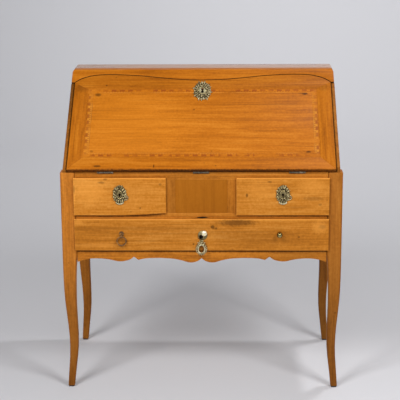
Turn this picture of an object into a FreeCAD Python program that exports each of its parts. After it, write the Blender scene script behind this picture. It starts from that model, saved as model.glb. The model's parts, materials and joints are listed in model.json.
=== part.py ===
import FreeCAD, Part
import math
import os

# Slant-front writing desk on four cabriole legs, in millimetres.
# +Z is up, the front faces -Y, and the origin is on the floor under the middle of the desk.
# Below, y counts back from the front face of the posts unless a comment says otherwise.

# Overall sizes
case_width = 885.0
case_depth = 460.0
total_height = 990.0
writing_height = 720.0
top_depth = 123.0

# Posts and cabriole legs: heights run from the pad to the knee, the rest are shares of the post
post_width = 47.5
post_chamfer = 2.0
knee_height = 455.0
pad_height = 4.0
pad_margin = 1.5
leg_height_shares = (0, 0.125, 0.30, 0.505, 0.69, 0.875, 1)
leg_setback_shares = (0.1, 0.19, 0.28, 0.18, 0.045, 0.005, 0)
leg_width_shares = (0.44, 0.48, 0.56, 0.645, 0.765, 0.86, 1)
leg_corner_share = 0.1
leg_steps = 14

# Side panels: the fall lies in a rebate along their sloping front edge
side_setback = 9.5
side_thickness = 17.5
side_lip = 11.5
side_edge_drop = 5.0
side_edge_round = 3.0
side_low_height = 430.0
side_arch_rise = 14.0
side_nose_setback = 2.0

# Top, frieze and back
top_thickness = 18.0
top_end_setback = 1.5
top_edge_round = 8.0
frieze_width = 48.7
frieze_thickness = 20.0
frieze_edge_round = 5.0
back_thickness = 12.0
back_setback = 2.0
back_low_height = 440.0

# Front rails, stiles and fixed middle panel
rail_setback = 1.0
rail_depth = 30.0
top_rail_height = 23.0
short_opening_height = 108.0
middle_rail_height = 25.0
long_opening_height = 90.5
apron_depth = 46.5
apron_thickness = 20.0
centre_bay_width = 232.0
stile_width = 34.0
stile_thickness = 20.0
panel_setback = 1.5
panel_thickness = 10.0

# Lower edge of the apron from the middle outwards: shares of the half span and of the apron's depth
apron_inner_shares = (
    (0, 0.72), (0.022, 0.88), (0.05, 0.985), (0.082, 1.03), (0.12, 0.985), (0.165, 0.87),
    (0.22, 0.77), (0.3, 0.715), (0.4, 0.715), (0.455, 0.745), (0.508, 0.85),
)
apron_outer_shares = (
    (0.545, 0.62), (0.57, 0.79), (0.605, 0.895), (0.65, 0.955), (0.7, 0.895), (0.745, 0.81),
    (0.8, 0.755), (0.85, 0.735), (0.9, 0.76), (0.955, 0.86), (1, 1),
)

# Writing bed, drawer partitions, runners and guides
bed_thickness = 16.0
partition_thickness = 12.0
partition_gap = 1.5
runner_thickness = 12.0
runner_width = 30.0
guide_height = 50.0

# Fall front
fall_thickness = 16.0
fall_side_gap = 1.5
fall_seat_gap = 0.3
fall_edge_gap = 0.5
fall_edge_round = 2.5
fall_hump = 25.0
fall_joint_gap = 2.0
fall_border_width = 47.0
fall_field_low = 50.0
fall_head_width = 40.0
inlay_width = 18.0
inlay_depth = 1.5
inlay_mitre_gap = 0.1

# Upper edge of the fall from the middle outwards: shares of its half width and of the hump
fall_crest_shares = (
    (0, 0), (0.16, 0.1), (0.32, 0.4), (0.5, 0.8), (0.68, 1), (0.82, 0.93), (0.93, 0.42), (1, -0.44),
)

# Hinges
hinge_gap = 0.5
hinge_spacing = 300.0
hinge_length = 50.0
hinge_leaf_width = 22.0
hinge_leaf_thickness = 1.8
hinge_barrel_radius = 3.0
hinge_pin_radius = 1.5
hinge_pin_gap = 0.05
hinge_swing_gap = 0.3
knuckle_gap = 0.4
knuckle_share = 1 / 3
hinge_sides = 12

# Drawers: a proud lipped front on a box with a grooved bottom
lip_thickness = 8.0
lip_gap = 0.3
lip_overlap = 6.0
lip_round = 3.0
plug_thickness = 14.0
plug_gap = 1.0
drawer_side_gap = 1.5
drawer_side_thickness = 12.0
drawer_run_gap = 0.3
drawer_head_room = 7.0
drawer_back_gap = 26.0
drawer_bottom_rise = 5.0
drawer_bottom_thickness = 8.0
drawer_groove = 5.0
left_lip_wear = 8.0
left_lip_wear_shares = ((0.55, 0), (0.8, 0.35))

# Locks and keyholes
lock_width = 56.0
lock_height = 58.0
lock_thickness = 10.0
lock_drop = 4.0
bolt_width = 22.0
bolt_thickness = 5.0
bolt_length = 26.0
bolt_gap = 0.4
bolt_stand = 2.0
bolt_throw = 6.0
fall_bolt_throw = 8.0
mortise_gap = 1.0
keyhole_radius = 2.6
keyhole_slot = 3.0
keyhole_length = 9.0

# Escutcheons
plate_thickness = 2.0
plate_scallop_share = 0.1
scallop_steps = 4
round_sides = 24
ring_boss_height = 2.0
drawer_plate_width = 50.0
drawer_plate_height = 64.0
drawer_plate_lobes = 11
drawer_plate_rise_share = 0.575
drawer_ring_share = 0.4
fall_plate_width = 66.0
fall_plate_height = 92.0
fall_plate_lobes = 15
fall_plate_drop = 49.0
fall_ring_radius = 14.5
fall_ring_wall = 4.0

# Long drawer hardware
knob_reach = 246.0
ring_reach = 252.0
pull_rise_share = 0.555
knob_projection = 22.0
knob_radius = 9.5
knob_flange_radius = 7.0
knob_flange_thickness = 2.0
knob_neck_radius = 3.6
knob_bands = 4
knob_tip_share = 0.3
ring_radius = 14.2
ring_wire_radius = 2.1
ring_wire_sides = 6
ring_eye_gap = 0.7
ring_stand = 7.0
ring_hang = 8.0
ring_post_radius = 2.8
ring_head_radius = 4.8
ring_head_width = 5.0
post_base_radius = 8.0
post_base_thickness = 2.5
rosette_rise_share = 0.505
rosette_shift = 4.0
rosette_radius = 15.0
rosette_height = 6.0
rosette_edge = 2.0
rosette_bands = 3
rosette_tip_share = 0.15
rosette_key_drop = 5.0
rosette_key_shift = 3.0
drop_hang = 22.0
drop_stand = 5.0
drop_pin_radius = 1.2
drop_barrel_radius = 2.6
drop_barrel_length = 7.0
drop_ear_thickness = 2.0
drop_plate_height = 12.0
drop_plate_thickness = 1.5
drop_width = 35.0
drop_height = 39.0
drop_neck = 1.0
drop_thickness = 3.0
drop_wall = 5.5
drop_lobes = 14

# Pigeonhole fitment inside the desk, with its two small drawers
gradin_height_share = 0.675
gradin_fall_gap = 21.0
gradin_side_gap = 0.5
gradin_thickness = 10.0
gradin_bay_width = 250.0
small_drawer_height_share = 0.4
small_drawer_gap = 0.6
small_front_thickness = 12.0
small_wall = 8.0
small_bottom = 5.0
small_back_gap = 8.0
small_knob_radius = 6.0
small_knob_neck_radius = 3.0
small_knob_projection = 14.0

# One overrun serves all cuts, one tolerance the picking of edges
overrun = 5.0
pick_tolerance = 0.1

# Places worked out from the sizes above
half_width = case_width / 2
lip_front = -lip_gap - lip_thickness
front_reach = knob_projection - lip_front
front_y = (front_reach - case_depth) / 2
inner_post = half_width - post_width
outer_side = half_width - side_setback
inner_side = outer_side - side_thickness
side_rebate = outer_side - side_lip
fall_half = side_rebate - fall_side_gap
slope_rise = total_height - writing_height
slope_run = case_depth - top_depth + hinge_gap
slope_span = math.hypot(slope_rise, slope_run)
slope_angle = math.atan2(slope_rise, slope_run) - math.asin(fall_thickness / slope_span)
slope_sine = math.sin(slope_angle)
slope_cosine = math.cos(slope_angle)
fall_middle_length = math.sqrt(slope_span ** 2 - fall_thickness ** 2) - frieze_width
fall_field_high = fall_middle_length - fall_head_width
fall_plate_place = fall_middle_length - fall_plate_drop
frieze_inner = fall_thickness - frieze_thickness
frieze_end = fall_middle_length + fall_crest_shares[-1][1] * fall_hump + fall_joint_gap
board_under = total_height - top_thickness
rail_back = rail_setback + rail_depth
back_rear = case_depth - back_setback
back_front = back_rear - back_thickness
bed_under = writing_height - bed_thickness
short_top = writing_height - top_rail_height
short_low = short_top - short_opening_height
long_top = short_low - middle_rail_height
long_low = long_top - long_opening_height
bay_half = centre_bay_width / 2
gradin_height = gradin_height_share * (board_under - writing_height)
gradin_top = writing_height + gradin_height
small_drawer_height = small_drawer_height_share * gradin_height
gradin_half = inner_side - gradin_side_gap


def at(x, y, z):
    return FreeCAD.Vector(x, front_y + y, z)


def box(low, high):
    size = [b - a for a, b in zip(low, high)]
    return Part.makeBox(size[0], size[1], size[2], at(low[0], low[1], low[2]))


def prism(outline, low_x, high_x):
    face = Part.Face(Part.makePolygon([at(low_x, y, z) for y, z in outline + outline[:1]]))
    return face.extrude(FreeCAD.Vector(high_x - low_x, 0, 0))


def slope_point(along, out):
    y = along * slope_cosine - out * slope_sine - hinge_gap
    return y, writing_height + along * slope_sine + out * slope_cosine


def slope_at_height(z, out):
    return slope_point((z - writing_height - out * slope_cosine) / slope_sine, out)


def slope_place():
    turn = FreeCAD.Rotation(FreeCAD.Vector(1, 0, 0), math.degrees(slope_angle))
    return FreeCAD.Placement(at(0, -hinge_gap, writing_height), turn)


# Shapes of the fall are drawn flat, with x across, y up the slope and z out of it
def on_slope(shape):
    placed = shape.copy()
    placed.Placement = slope_place().multiply(placed.Placement)
    return placed


def flat_box(low, high):
    size = [b - a for a, b in zip(low, high)]
    return Part.makeBox(size[0], size[1], size[2], FreeCAD.Vector(low[0], low[1], low[2]))


def flat_prism(outline, low, high):
    face = Part.Face(Part.makePolygon([FreeCAD.Vector(x, y, low) for x, y in outline + outline[:1]]))
    return face.extrude(FreeCAD.Vector(0, 0, high - low))


def spline(points):
    curve = Part.BSplineCurve()
    curve.interpolate(points)
    return curve.toShape()


def round_edges(shape, radius, keep):
    edges = [edge for edge in shape.Edges if all(keep(corner.Point) for corner in edge.Vertexes)]
    return shape.makeFillet(radius, edges)


def near(a, b):
    return math.isclose(a, b, abs_tol=pick_tolerance)


def mirror_x(shape):
    return shape.mirror(FreeCAD.Vector(0, 0, 0), FreeCAD.Vector(1, 0, 0))


def both_sides(shape):
    return [shape, mirror_x(shape)]


def write(name, shapes):
    group = shapes[0] if len(shapes) == 1 else Part.makeCompound(shapes)
    group.exportStep(os.path.join("parts", name + ".step"))


# Cabriole legs: one lofted leg with its post, mirrored to the four corners
def leg_section(setback, width, z):
    cut = width * leg_corner_share
    far = setback + width
    ends = ((setback, setback + cut), (setback + cut, setback), (far - cut, setback), (far, setback + cut))
    ends += ((far, far - cut), (far - cut, far), (setback + cut, far), (setback, far - cut))
    corners = [at(x - half_width, y, z) for x, y in ends]
    return Part.makePolygon(corners + corners[:1])


def leg_stations():
    curve = Part.BSplineCurve()
    shares = zip(leg_setback_shares, leg_width_shares, leg_height_shares)
    curve.interpolate([FreeCAD.Vector(setback, width, height) for setback, width, height in shares])
    span = curve.LastParameter - curve.FirstParameter
    return [curve.value(curve.FirstParameter + span * step / leg_steps) for step in range(leg_steps + 1)]


def front_left_leg():
    rise = knee_height - pad_height
    wires = []
    for station in leg_stations():
        width = station.y * post_width
        wires.append(leg_section(station.x * post_width, width, pad_height + station.z * rise))
    shoulder = writing_height - post_chamfer
    wires.append(leg_section(0, post_width, shoulder))
    wires.append(leg_section(post_chamfer, post_width - post_chamfer * 2, writing_height))
    return Part.makeLoft(wires, True, True)


def front_left_pad():
    width = leg_width_shares[0] * post_width - pad_margin * 2
    foot = leg_section(leg_setback_shares[0] * post_width + pad_margin, width, 0)
    return Part.Face(foot).extrude(FreeCAD.Vector(0, 0, pad_height))


def to_rear(shape):
    return shape.mirror(at(0, case_depth / 2, 0), FreeCAD.Vector(0, 1, 0))


# Side panels: an outer layer that shows beside the fall and an inner one that carries it
def side_outline(edge_out):
    nose = (side_nose_setback + hinge_gap + edge_out * slope_sine) / slope_cosine
    rear_post = case_depth - post_width
    return [
        (post_width, side_low_height),
        (rear_post, side_low_height),
        (rear_post, writing_height),
        (case_depth, writing_height),
        (case_depth, board_under),
        slope_at_height(board_under, frieze_inner),
        slope_point(frieze_end, frieze_inner),
        slope_point(frieze_end, edge_out),
        slope_point(nose, edge_out),
        (side_nose_setback, writing_height),
        (post_width, writing_height),
    ]


def side_arch():
    start = at(-outer_side - overrun, post_width, side_low_height)
    end = at(-outer_side - overrun, case_depth - post_width, side_low_height)
    crest = at(-outer_side - overrun, case_depth / 2, side_low_height + side_arch_rise)
    face = Part.Face(Part.Wire([Part.Arc(start, crest, end).toShape(), Part.makeLine(end, start)]))
    return face.extrude(FreeCAD.Vector(side_thickness + overrun * 2, 0, 0))


def left_side_panel():
    edge_out = fall_thickness - side_edge_drop
    outer = prism(side_outline(edge_out), -outer_side, -side_rebate)

    def sloping(point):
        out = (point.z - writing_height) * slope_cosine - (point.y - front_y + hinge_gap) * slope_sine
        return near(point.x, -outer_side) and near(out, edge_out)

    outer = round_edges(outer, side_edge_round, sloping)
    inner = prism(side_outline(-fall_seat_gap), -side_rebate, -inner_side)
    return outer.fuse(inner).cut(side_arch()).removeSplitter()


# Bounds of the case with rounded upper edges, for the ends of the top and the frieze
def rounded_case():
    half = outer_side - top_end_setback
    whole = box((-half, 0, 0), (half, case_depth, total_height))
    return round_edges(whole, top_edge_round, lambda point: near(point.z, total_height))


# Top board and the frieze rail whose lower edge follows the fall's serpentine crest
def top_board():
    front = [slope_at_height(z, frieze_inner) for z in (board_under, total_height)]
    board = prism(front + [(case_depth, total_height), (case_depth, board_under)], -outer_side, outer_side)
    return board.common(rounded_case())


def crest_edge(half, shift, level):
    right = [(x * half, fall_middle_length + y * fall_hump + shift) for x, y in fall_crest_shares]
    left = [(-x, y) for x, y in right[:0:-1]]
    return spline([FreeCAD.Vector(x, y, level) for x, y in left + right])


def under_crest(half, shift, low, level, height):
    crest = crest_edge(half, shift, level)
    start = crest.Vertexes[0].Point
    end = crest.Vertexes[-1].Point
    right = FreeCAD.Vector(half, low, level)
    left = FreeCAD.Vector(-half, low, level)
    lines = [Part.makeLine(end, right), Part.makeLine(right, left), Part.makeLine(left, start)]
    return Part.Face(Part.Wire([crest] + lines)).extrude(FreeCAD.Vector(0, 0, height))


def frieze_rail():
    tip = (case_depth - top_depth, total_height)
    rear = slope_at_height(total_height, frieze_inner)
    outline = [slope_point(frieze_end, fall_thickness), tip, rear, slope_point(frieze_end, frieze_inner)]
    rail = prism(outline, -outer_side, outer_side)

    def front_edge(point):
        return near(point.z, total_height) and near(point.y, front_y + tip[0])

    rail = round_edges(rail, frieze_edge_round, front_edge)
    room = under_crest(side_rebate, fall_joint_gap, frieze_end - overrun, frieze_inner - overrun,
                       frieze_thickness + overrun * 2)
    return rail.cut([on_slope(room), on_slope(fall_mortise())]).common(rounded_case())


def back_boards():
    middle = (back_low_height + writing_height) / 2
    upper = (writing_height + board_under) / 2
    rows = ((inner_post, back_low_height, middle), (inner_post, middle, writing_height),
            (inner_side, writing_height, upper), (inner_side, upper, board_under))
    return [box((-half, back_front, low), (half, back_rear, high)) for half, low, high in rows]


# Front frame
def top_rail():
    rail = box((-inner_post, rail_setback, short_top), (inner_post, rail_back, writing_height))
    cuts = [hinge_bed_cut(x) for x in hinge_places()]
    cuts += [rail_mortise(side * short_middle(), short_top) for side in (-1, 1)]
    return rail.cut(cuts)


def middle_rail():
    rail = box((-inner_post, rail_setback, long_top), (inner_post, rail_back, short_low))
    return rail.cut(rail_mortise(-rosette_key_shift, long_top))


def arcs(points):
    return [Part.Arc(*points[start:start + 3]).toShape() for start in range(0, len(points) - 2, 2)]


def apron_rail():
    def place(shares):
        return at(shares[0] * inner_post, rail_setback, long_low - shares[1] * apron_depth)

    inner = [place(pair) for pair in apron_inner_shares]
    outer = [place(pair) for pair in apron_outer_shares]
    ends = [at(side * inner_post, rail_setback, long_low) for side in (-1, 1)]
    half = arcs(inner) + [Part.makeLine(inner[-1], outer[0])] + arcs(outer)
    half.append(Part.makeLine(outer[-1], ends[1]))
    edges = half + [mirror_x(edge) for edge in half] + [Part.makeLine(ends[0], ends[1])]
    wire = Part.Wire(Part.__sortEdges__(edges))
    return Part.Face(wire).extrude(FreeCAD.Vector(0, apron_thickness, 0))


def left_stile():
    inner = stile_width - bay_half
    return box((-bay_half, rail_setback, short_low), (inner, rail_setback + stile_thickness, short_top))


def centre_panel():
    half = bay_half - stile_width
    return box((-half, panel_setback, short_low), (half, panel_setback + panel_thickness, short_top))


# Inside of the case
def writing_bed():
    bed = box((-inner_side, rail_back, bed_under), (inner_side, back_front, writing_height))
    rear_post = case_depth - post_width
    for side in (-1, 1):
        edges = sorted((side * inner_post, side * (half_width + overrun)))
        for ends in ((-overrun, post_width), (rear_post, case_depth + overrun)):
            bed = bed.cut(box((edges[0], ends[0], bed_under - overrun), (edges[1], ends[1], total_height)))
    return bed


def partition_face():
    return bay_half - partition_gap


def left_partition():
    low = short_low - runner_thickness
    inner = partition_thickness - partition_face()
    return box((-partition_face(), rail_back, low), (inner, back_front, bed_under))


def left_short_runners():
    low = short_low - runner_thickness
    edges = (-inner_post, -partition_face() - runner_width)
    runners = [box((x, rail_back, low), (x + runner_width, back_front, short_low)) for x in edges]
    return runners + [left_guide(short_low)]


def left_guide(level):
    rear_post = case_depth - post_width
    low = level - runner_thickness
    return box((-inner_side, post_width, low), (-inner_post, rear_post, low + guide_height))


def left_long_runners():
    low = long_low - runner_thickness
    front = rail_setback + apron_thickness
    runner = box((-inner_post, front, low), (runner_width - inner_post, back_front, long_low))
    return [runner, left_guide(long_low)]


# Hinges between the top rail and the fall
def hinge_places():
    return (-hinge_spacing, 0, hinge_spacing)


def barrel(x, half, radius):
    ring = round_points(radius, hinge_sides, 0)
    corners = [at(x - half, point.x - hinge_gap, writing_height + point.y) for point in ring]
    return flat_face(corners).extrude(FreeCAD.Vector(half * 2, 0, 0))


# A hole whose flats stay outside the given radius
def barrel_hole(x, half, radius):
    return barrel(x, half, radius / math.cos(math.pi / hinge_sides))


# Round rod on the hinge axis, for the pin and its hole
def hinge_rod(x, half, radius):
    start = at(x - half, -hinge_gap, writing_height)
    return Part.makeCylinder(radius, half * 2, start, FreeCAD.Vector(1, 0, 0))


def hinge_bed_cut(x):
    half = hinge_length / 2 + hinge_swing_gap
    level = writing_height - hinge_leaf_thickness
    leaf_end = hinge_leaf_width + hinge_swing_gap
    recess = box((x - half, -overrun, level), (x + half, leaf_end, writing_height + overrun))
    return recess.fuse(barrel_hole(x, half, hinge_barrel_radius + hinge_swing_gap))


def hinge_fall_cut(x):
    half = hinge_length / 2 + hinge_swing_gap
    leaf_end = hinge_leaf_width + hinge_swing_gap
    recess = flat_box((x - half, -overrun, -overrun), (x + half, leaf_end, hinge_leaf_thickness))
    return on_slope(recess).fuse(barrel_hole(x, half, hinge_barrel_radius + hinge_swing_gap))


def middle_knuckle_half():
    return hinge_length * knuckle_share / 2


def bed_leaf(x):
    half = hinge_length / 2
    level = writing_height - hinge_leaf_thickness
    leaf = box((x - half, -hinge_gap, level), (x + half, hinge_leaf_width, writing_height))
    leaf = leaf.fuse(barrel(x, half, hinge_barrel_radius))
    room = barrel_hole(x, middle_knuckle_half() + knuckle_gap, hinge_barrel_radius + hinge_swing_gap)
    return leaf.cut([room, hinge_rod(x, half + overrun, hinge_pin_radius + hinge_pin_gap)])


def fall_leaf(x):
    half = hinge_length / 2
    leaf = on_slope(flat_box((x - half, 0, 0), (x + half, hinge_leaf_width, hinge_leaf_thickness)))
    rooms = []
    for side in (-1, 1):
        outer = (half + middle_knuckle_half()) / 2 * side
        reach = (half - middle_knuckle_half()) / 2
        rooms.append(barrel_hole(x + outer, reach, hinge_barrel_radius + hinge_swing_gap))
    leaf = leaf.cut(rooms).fuse(barrel(x, middle_knuckle_half(), hinge_barrel_radius))
    return leaf.cut(hinge_rod(x, half + overrun, hinge_pin_radius + hinge_pin_gap))


def hinge_pin(x):
    return hinge_rod(x, hinge_length / 2, hinge_pin_radius)


# Fall front: a mitred border round a field, with a band of inlay let into the field
def field_half():
    return fall_half - fall_border_width


def fall_top_border():
    crest = crest_edge(fall_half, 0, 0)
    start = crest.Vertexes[0].Point
    end = crest.Vertexes[-1].Point
    right = FreeCAD.Vector(field_half(), fall_field_high, 0)
    left = FreeCAD.Vector(-field_half(), fall_field_high, 0)
    lines = [Part.makeLine(end, right), Part.makeLine(right, left), Part.makeLine(left, start)]
    border = Part.Face(Part.Wire([crest] + lines)).extrude(FreeCAD.Vector(0, 0, fall_thickness))
    return border.cut([fall_lock_room(), fall_bolt_room()])


def fall_borders():
    corner = fall_middle_length + fall_crest_shares[-1][1] * fall_hump
    side_points = [(fall_half, fall_edge_gap), (fall_half, corner), (field_half(), fall_field_high),
                   (field_half(), fall_field_low)]
    side = flat_prism(side_points, 0, fall_thickness)

    def outer_edge(point):
        return near(point.z, fall_thickness) and near(point.x, fall_half)

    side = round_edges(side, fall_edge_round, outer_edge)
    low_points = [(-fall_half, fall_edge_gap), (fall_half, fall_edge_gap), (field_half(), fall_field_low),
                  (-field_half(), fall_field_low)]
    low = flat_prism(low_points, 0, fall_thickness)

    def lower_edge(point):
        return near(point.z, fall_thickness) and near(point.y, fall_edge_gap)

    low = round_edges(low, fall_edge_round, lower_edge)
    low = on_slope(low).cut([hinge_fall_cut(x) for x in hinge_places()])
    return [on_slope(shape) for shape in [fall_top_border()] + both_sides(side)] + [low]


def fall_field():
    half = field_half()
    board = flat_box((-half, fall_field_low, 0), (half, fall_field_high, fall_thickness))
    return board.cut([inlay_groove(), fall_lock_room(), fall_keyhole(0, fall_thickness)])


def inlay_groove():
    half = field_half()
    inner = half - inlay_width
    floor = fall_thickness - inlay_depth
    whole = flat_box((-half, fall_field_low, floor), (half, fall_field_high, fall_thickness))
    low = fall_field_low + inlay_width
    high = fall_field_high - inlay_width
    return whole.cut(flat_box((-inner, low, floor), (inner, high, fall_thickness)))


def inlay_strips():
    half = field_half()
    inner = half - inlay_width
    edges = (fall_field_low, fall_field_low + inlay_width, fall_field_high - inlay_width, fall_field_high)
    rows = [[(-half, edges[0]), (half, edges[0]), (inner, edges[1]), (-inner, edges[1])]]
    rows.append([(half, edges[3]), (-half, edges[3]), (-inner, edges[2]), (inner, edges[2])])
    low, low_inner = edges[0] + inlay_mitre_gap, edges[1] + inlay_mitre_gap
    high_inner, high = edges[2] - inlay_mitre_gap, edges[3] - inlay_mitre_gap
    for side in (-1, 1):
        outer = side * half
        rows.append([(outer, low), (outer, high), (side * inner, high_inner), (side * inner, low_inner)])
    strips = [flat_prism(row, fall_thickness - inlay_depth, fall_thickness) for row in rows]
    return [strip.cut(fall_keyhole(0, fall_thickness)) for strip in strips]


# Lock of the fall: its bolt shoots up the slope into the frieze
def fall_lock_top():
    return fall_middle_length - lock_drop


def fall_lock_body(gap):
    half = lock_width / 2 + gap
    low = fall_lock_top() - lock_height - gap
    return flat_box((-half, low, 0), (half, fall_lock_top() + gap, lock_thickness + gap))


def fall_lock_room():
    return fall_lock_body(0)


def fall_bolt_body(gap):
    half = bolt_width / 2 + gap
    low = (lock_thickness - bolt_thickness) / 2 - gap
    high = low + bolt_thickness + gap * 2
    top = fall_lock_top() + bolt_stand
    return flat_box((-half, top - bolt_length - gap, low), (half, top + gap, high))


def fall_bolt_room():
    half = bolt_width / 2 + bolt_gap
    low = (lock_thickness - bolt_thickness) / 2 - bolt_gap
    high = low + bolt_thickness + bolt_gap * 2
    return flat_box((-half, fall_lock_top(), low), (half, fall_middle_length + fall_hump, high))


def fall_mortise():
    half = bolt_width / 2 + mortise_gap
    low = (lock_thickness - bolt_thickness) / 2 - mortise_gap
    high = low + bolt_thickness + mortise_gap * 2
    top = fall_lock_top() + bolt_stand + fall_bolt_throw + mortise_gap
    return flat_box((-half, fall_middle_length - overrun, low), (half, top, high))


def fall_lock():
    room = fall_bolt_body(bolt_gap)
    return fall_lock_body(0).cut([room, fall_keyhole(lock_thickness / 2, lock_thickness)])


def fall_keyhole(low, high):
    reach = high - low + overrun
    upper = fall_plate_place + keyhole_length / 4
    lower = fall_plate_place - keyhole_length / 4
    circles = [Part.makeCylinder(keyhole_radius, reach, FreeCAD.Vector(0, y, low)) for y in (upper, lower)]
    slot = flat_box((-keyhole_slot / 2, lower, low), (keyhole_slot / 2, upper, low + reach))
    return slot.fuse(circles)


# Escutcheons: scalloped plates with a raised ring round the keyhole, drawn flat
def scalloped_wire(width, height, lobes):
    points = []
    count = lobes * scallop_steps
    for step in range(count):
        turn = math.pi / 2 + math.pi * 2 * step / count
        reach = 1 - plate_scallop_share * abs(math.sin(math.pi * step / scallop_steps))
        across = width / 2 * reach * math.cos(turn)
        points.append(FreeCAD.Vector(across, height / 2 * reach * math.sin(turn), 0))
    return Part.makePolygon(points + points[:1])


def scalloped_plate(width, height, lobes):
    plate = Part.Face(scalloped_wire(width, height, lobes))
    return plate.extrude(FreeCAD.Vector(0, 0, plate_thickness))


def round_points(radius, sides, level):
    turns = [math.pi * 2 * step / sides for step in range(sides)]
    return [FreeCAD.Vector(radius * math.cos(turn), radius * math.sin(turn), level) for turn in turns]


def closed_wire(points):
    return Part.makePolygon(points + points[:1])


def flat_face(points):
    return Part.Face(closed_wire(points))


# Flat faces between one ring of points and the next
def ring_faces(low, high):
    nexts = list(zip(low[1:] + low[:1], high[1:] + high[:1]))
    return [flat_face([a, b, d, c]) for a, c, (b, d) in zip(low, high, nexts)]


def open_plate(outline, room, height):
    whole, hole = [Part.Face(wire).extrude(FreeCAD.Vector(0, 0, height)) for wire in (outline, room)]
    return whole.cut(hole)


def ring_boss(outer, wall):
    rings = [round_points(radius, round_sides, 0) for radius in (outer, outer - wall)]
    outline, room = [closed_wire(ring) for ring in rings]
    return open_plate(outline, room, plate_thickness + ring_boss_height)


def fall_escutcheon():
    plate = scalloped_plate(fall_plate_width, fall_plate_height, fall_plate_lobes)
    plate = plate.fuse(ring_boss(fall_ring_radius, fall_ring_wall)).removeSplitter()
    plate.translate(FreeCAD.Vector(0, fall_plate_place, fall_thickness))
    return on_slope(plate.cut(fall_keyhole(fall_thickness, fall_thickness + plate_thickness)))


# A flat shape drawn face up is stood against a drawer front at x and z
def on_drawer(shape, x, z):
    placed = shape.copy()
    turn = FreeCAD.Rotation(FreeCAD.Vector(1, 0, 0), math.degrees(math.pi / 2))
    placed.Placement = FreeCAD.Placement(at(x, lip_front, z), turn).multiply(placed.Placement)
    return placed


def drawer_keyhole(x, z, depth):
    reach = depth + overrun * 2
    hole = Part.makeCylinder(keyhole_radius, reach, at(x, lip_front - overrun, z), FreeCAD.Vector(0, 1, 0))
    slot = box((x - keyhole_slot / 2, lip_front - overrun, z - keyhole_length + keyhole_radius),
               (x + keyhole_slot / 2, lip_front - overrun + reach, z))
    return hole.fuse(slot)


def drawer_plate_height_at():
    return short_low + drawer_plate_rise_share * short_opening_height


def drawer_escutcheon(x):
    plate = scalloped_plate(drawer_plate_width, drawer_plate_height, drawer_plate_lobes)
    ring_radius_outer = drawer_plate_width * drawer_ring_share / 2
    plate = plate.fuse(ring_boss(ring_radius_outer, ring_boss_height)).removeSplitter()
    z = drawer_plate_height_at()
    return on_drawer(plate, x, z).cut(drawer_keyhole(x, z, plate_thickness))


# Drawers: opening edges in, named pieces out
def short_middle():
    return (bay_half + inner_post) / 2


def drawer_front(low_x, high_x, low_z, high_z, wear):
    low = low_z - lip_overlap
    outline = [(high_x + lip_overlap, low + wear), (high_x + lip_overlap, high_z + lip_overlap),
               (low_x - lip_overlap, high_z + lip_overlap), (low_x - lip_overlap, low)]
    if wear:
        outline += [(low_x + (high_x - low_x) * x, low + wear * rise) for x, rise in left_lip_wear_shares]
    corners = [at(x, lip_front, z) for x, z in outline + outline[:1]]
    lip = Part.Face(Part.makePolygon(corners)).extrude(FreeCAD.Vector(0, lip_thickness, 0))
    lip = round_edges(lip, lip_round, lambda p: near(p.y, front_y + lip_front))
    plug = box((low_x + plug_gap, lip_front + lip_thickness, low_z + plug_gap),
               (high_x - plug_gap, plug_thickness, high_z - plug_gap))
    return lip.fuse(plug)


def drawer_pieces(low_x, high_x, low_z, high_z, key_x, key_z, wear):
    left = low_x + drawer_side_gap
    right = high_x - drawer_side_gap
    wall = drawer_side_thickness
    rear = back_front - drawer_back_gap
    floor = low_z + drawer_run_gap
    head = high_z - drawer_head_room
    bottom_low = floor + drawer_bottom_rise
    bottom_high = bottom_low + drawer_bottom_thickness
    bottom = box((left + wall - drawer_groove, plug_thickness - drawer_groove, bottom_low),
                 (right - wall + drawer_groove, rear, bottom_high))
    sides = [box((x, plug_thickness, floor), (x + wall, rear, head)) for x in (left, right - wall)]
    back = box((left + wall, rear - wall, bottom_high), (right - wall, rear, head))
    front = drawer_front(low_x, high_x, low_z, high_z, wear)
    keyhole = drawer_keyhole(key_x, key_z, lip_thickness + plug_thickness)
    front = front.cut([bottom, keyhole])
    return {
        "front": [front],
        "box": [side.cut(bottom) for side in sides] + [back],
        "bottom": [bottom],
        "lock": [drawer_lock(key_x, high_z).cut(keyhole)],
        "bolt": [drawer_bolt(key_x, high_z, 0)],
    }


def bolt_depths():
    middle = plug_thickness + lock_thickness / 2
    return middle - bolt_thickness / 2, middle + bolt_thickness / 2


def drawer_lock(x, head_z):
    top = head_z - lock_drop
    half = lock_width / 2
    rear = plug_thickness + lock_thickness
    case = box((x - half, plug_thickness, top - lock_height), (x + half, rear, top))
    return case.cut(drawer_bolt(x, head_z, bolt_gap))


def drawer_bolt(x, head_z, gap):
    top = head_z - lock_drop + bolt_stand
    half = bolt_width / 2 + gap
    front, rear = bolt_depths()
    return box((x - half, front - gap, top - bolt_length - gap), (x + half, rear + gap, top + gap))


def rail_mortise(x, level):
    half = bolt_width / 2 + mortise_gap
    front, rear = bolt_depths()
    top = level + bolt_throw + mortise_gap
    return box((x - half, front - mortise_gap, level - overrun), (x + half, rear + mortise_gap, top))


# Hardware of the long drawer
def pull_height():
    return long_low + pull_rise_share * long_opening_height


def rosette_level():
    return long_low + rosette_rise_share * long_opening_height


def long_key_height():
    return rosette_level() - rosette_key_drop


def turned(points):
    rings = [round_points(radius, round_sides, level) for radius, level in points]
    faces = [flat_face(rings[0]), flat_face(rings[-1])]
    for low, high in zip(rings, rings[1:]):
        faces += ring_faces(low, high)
    return Part.makeSolid(Part.makeShell(faces))


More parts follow.
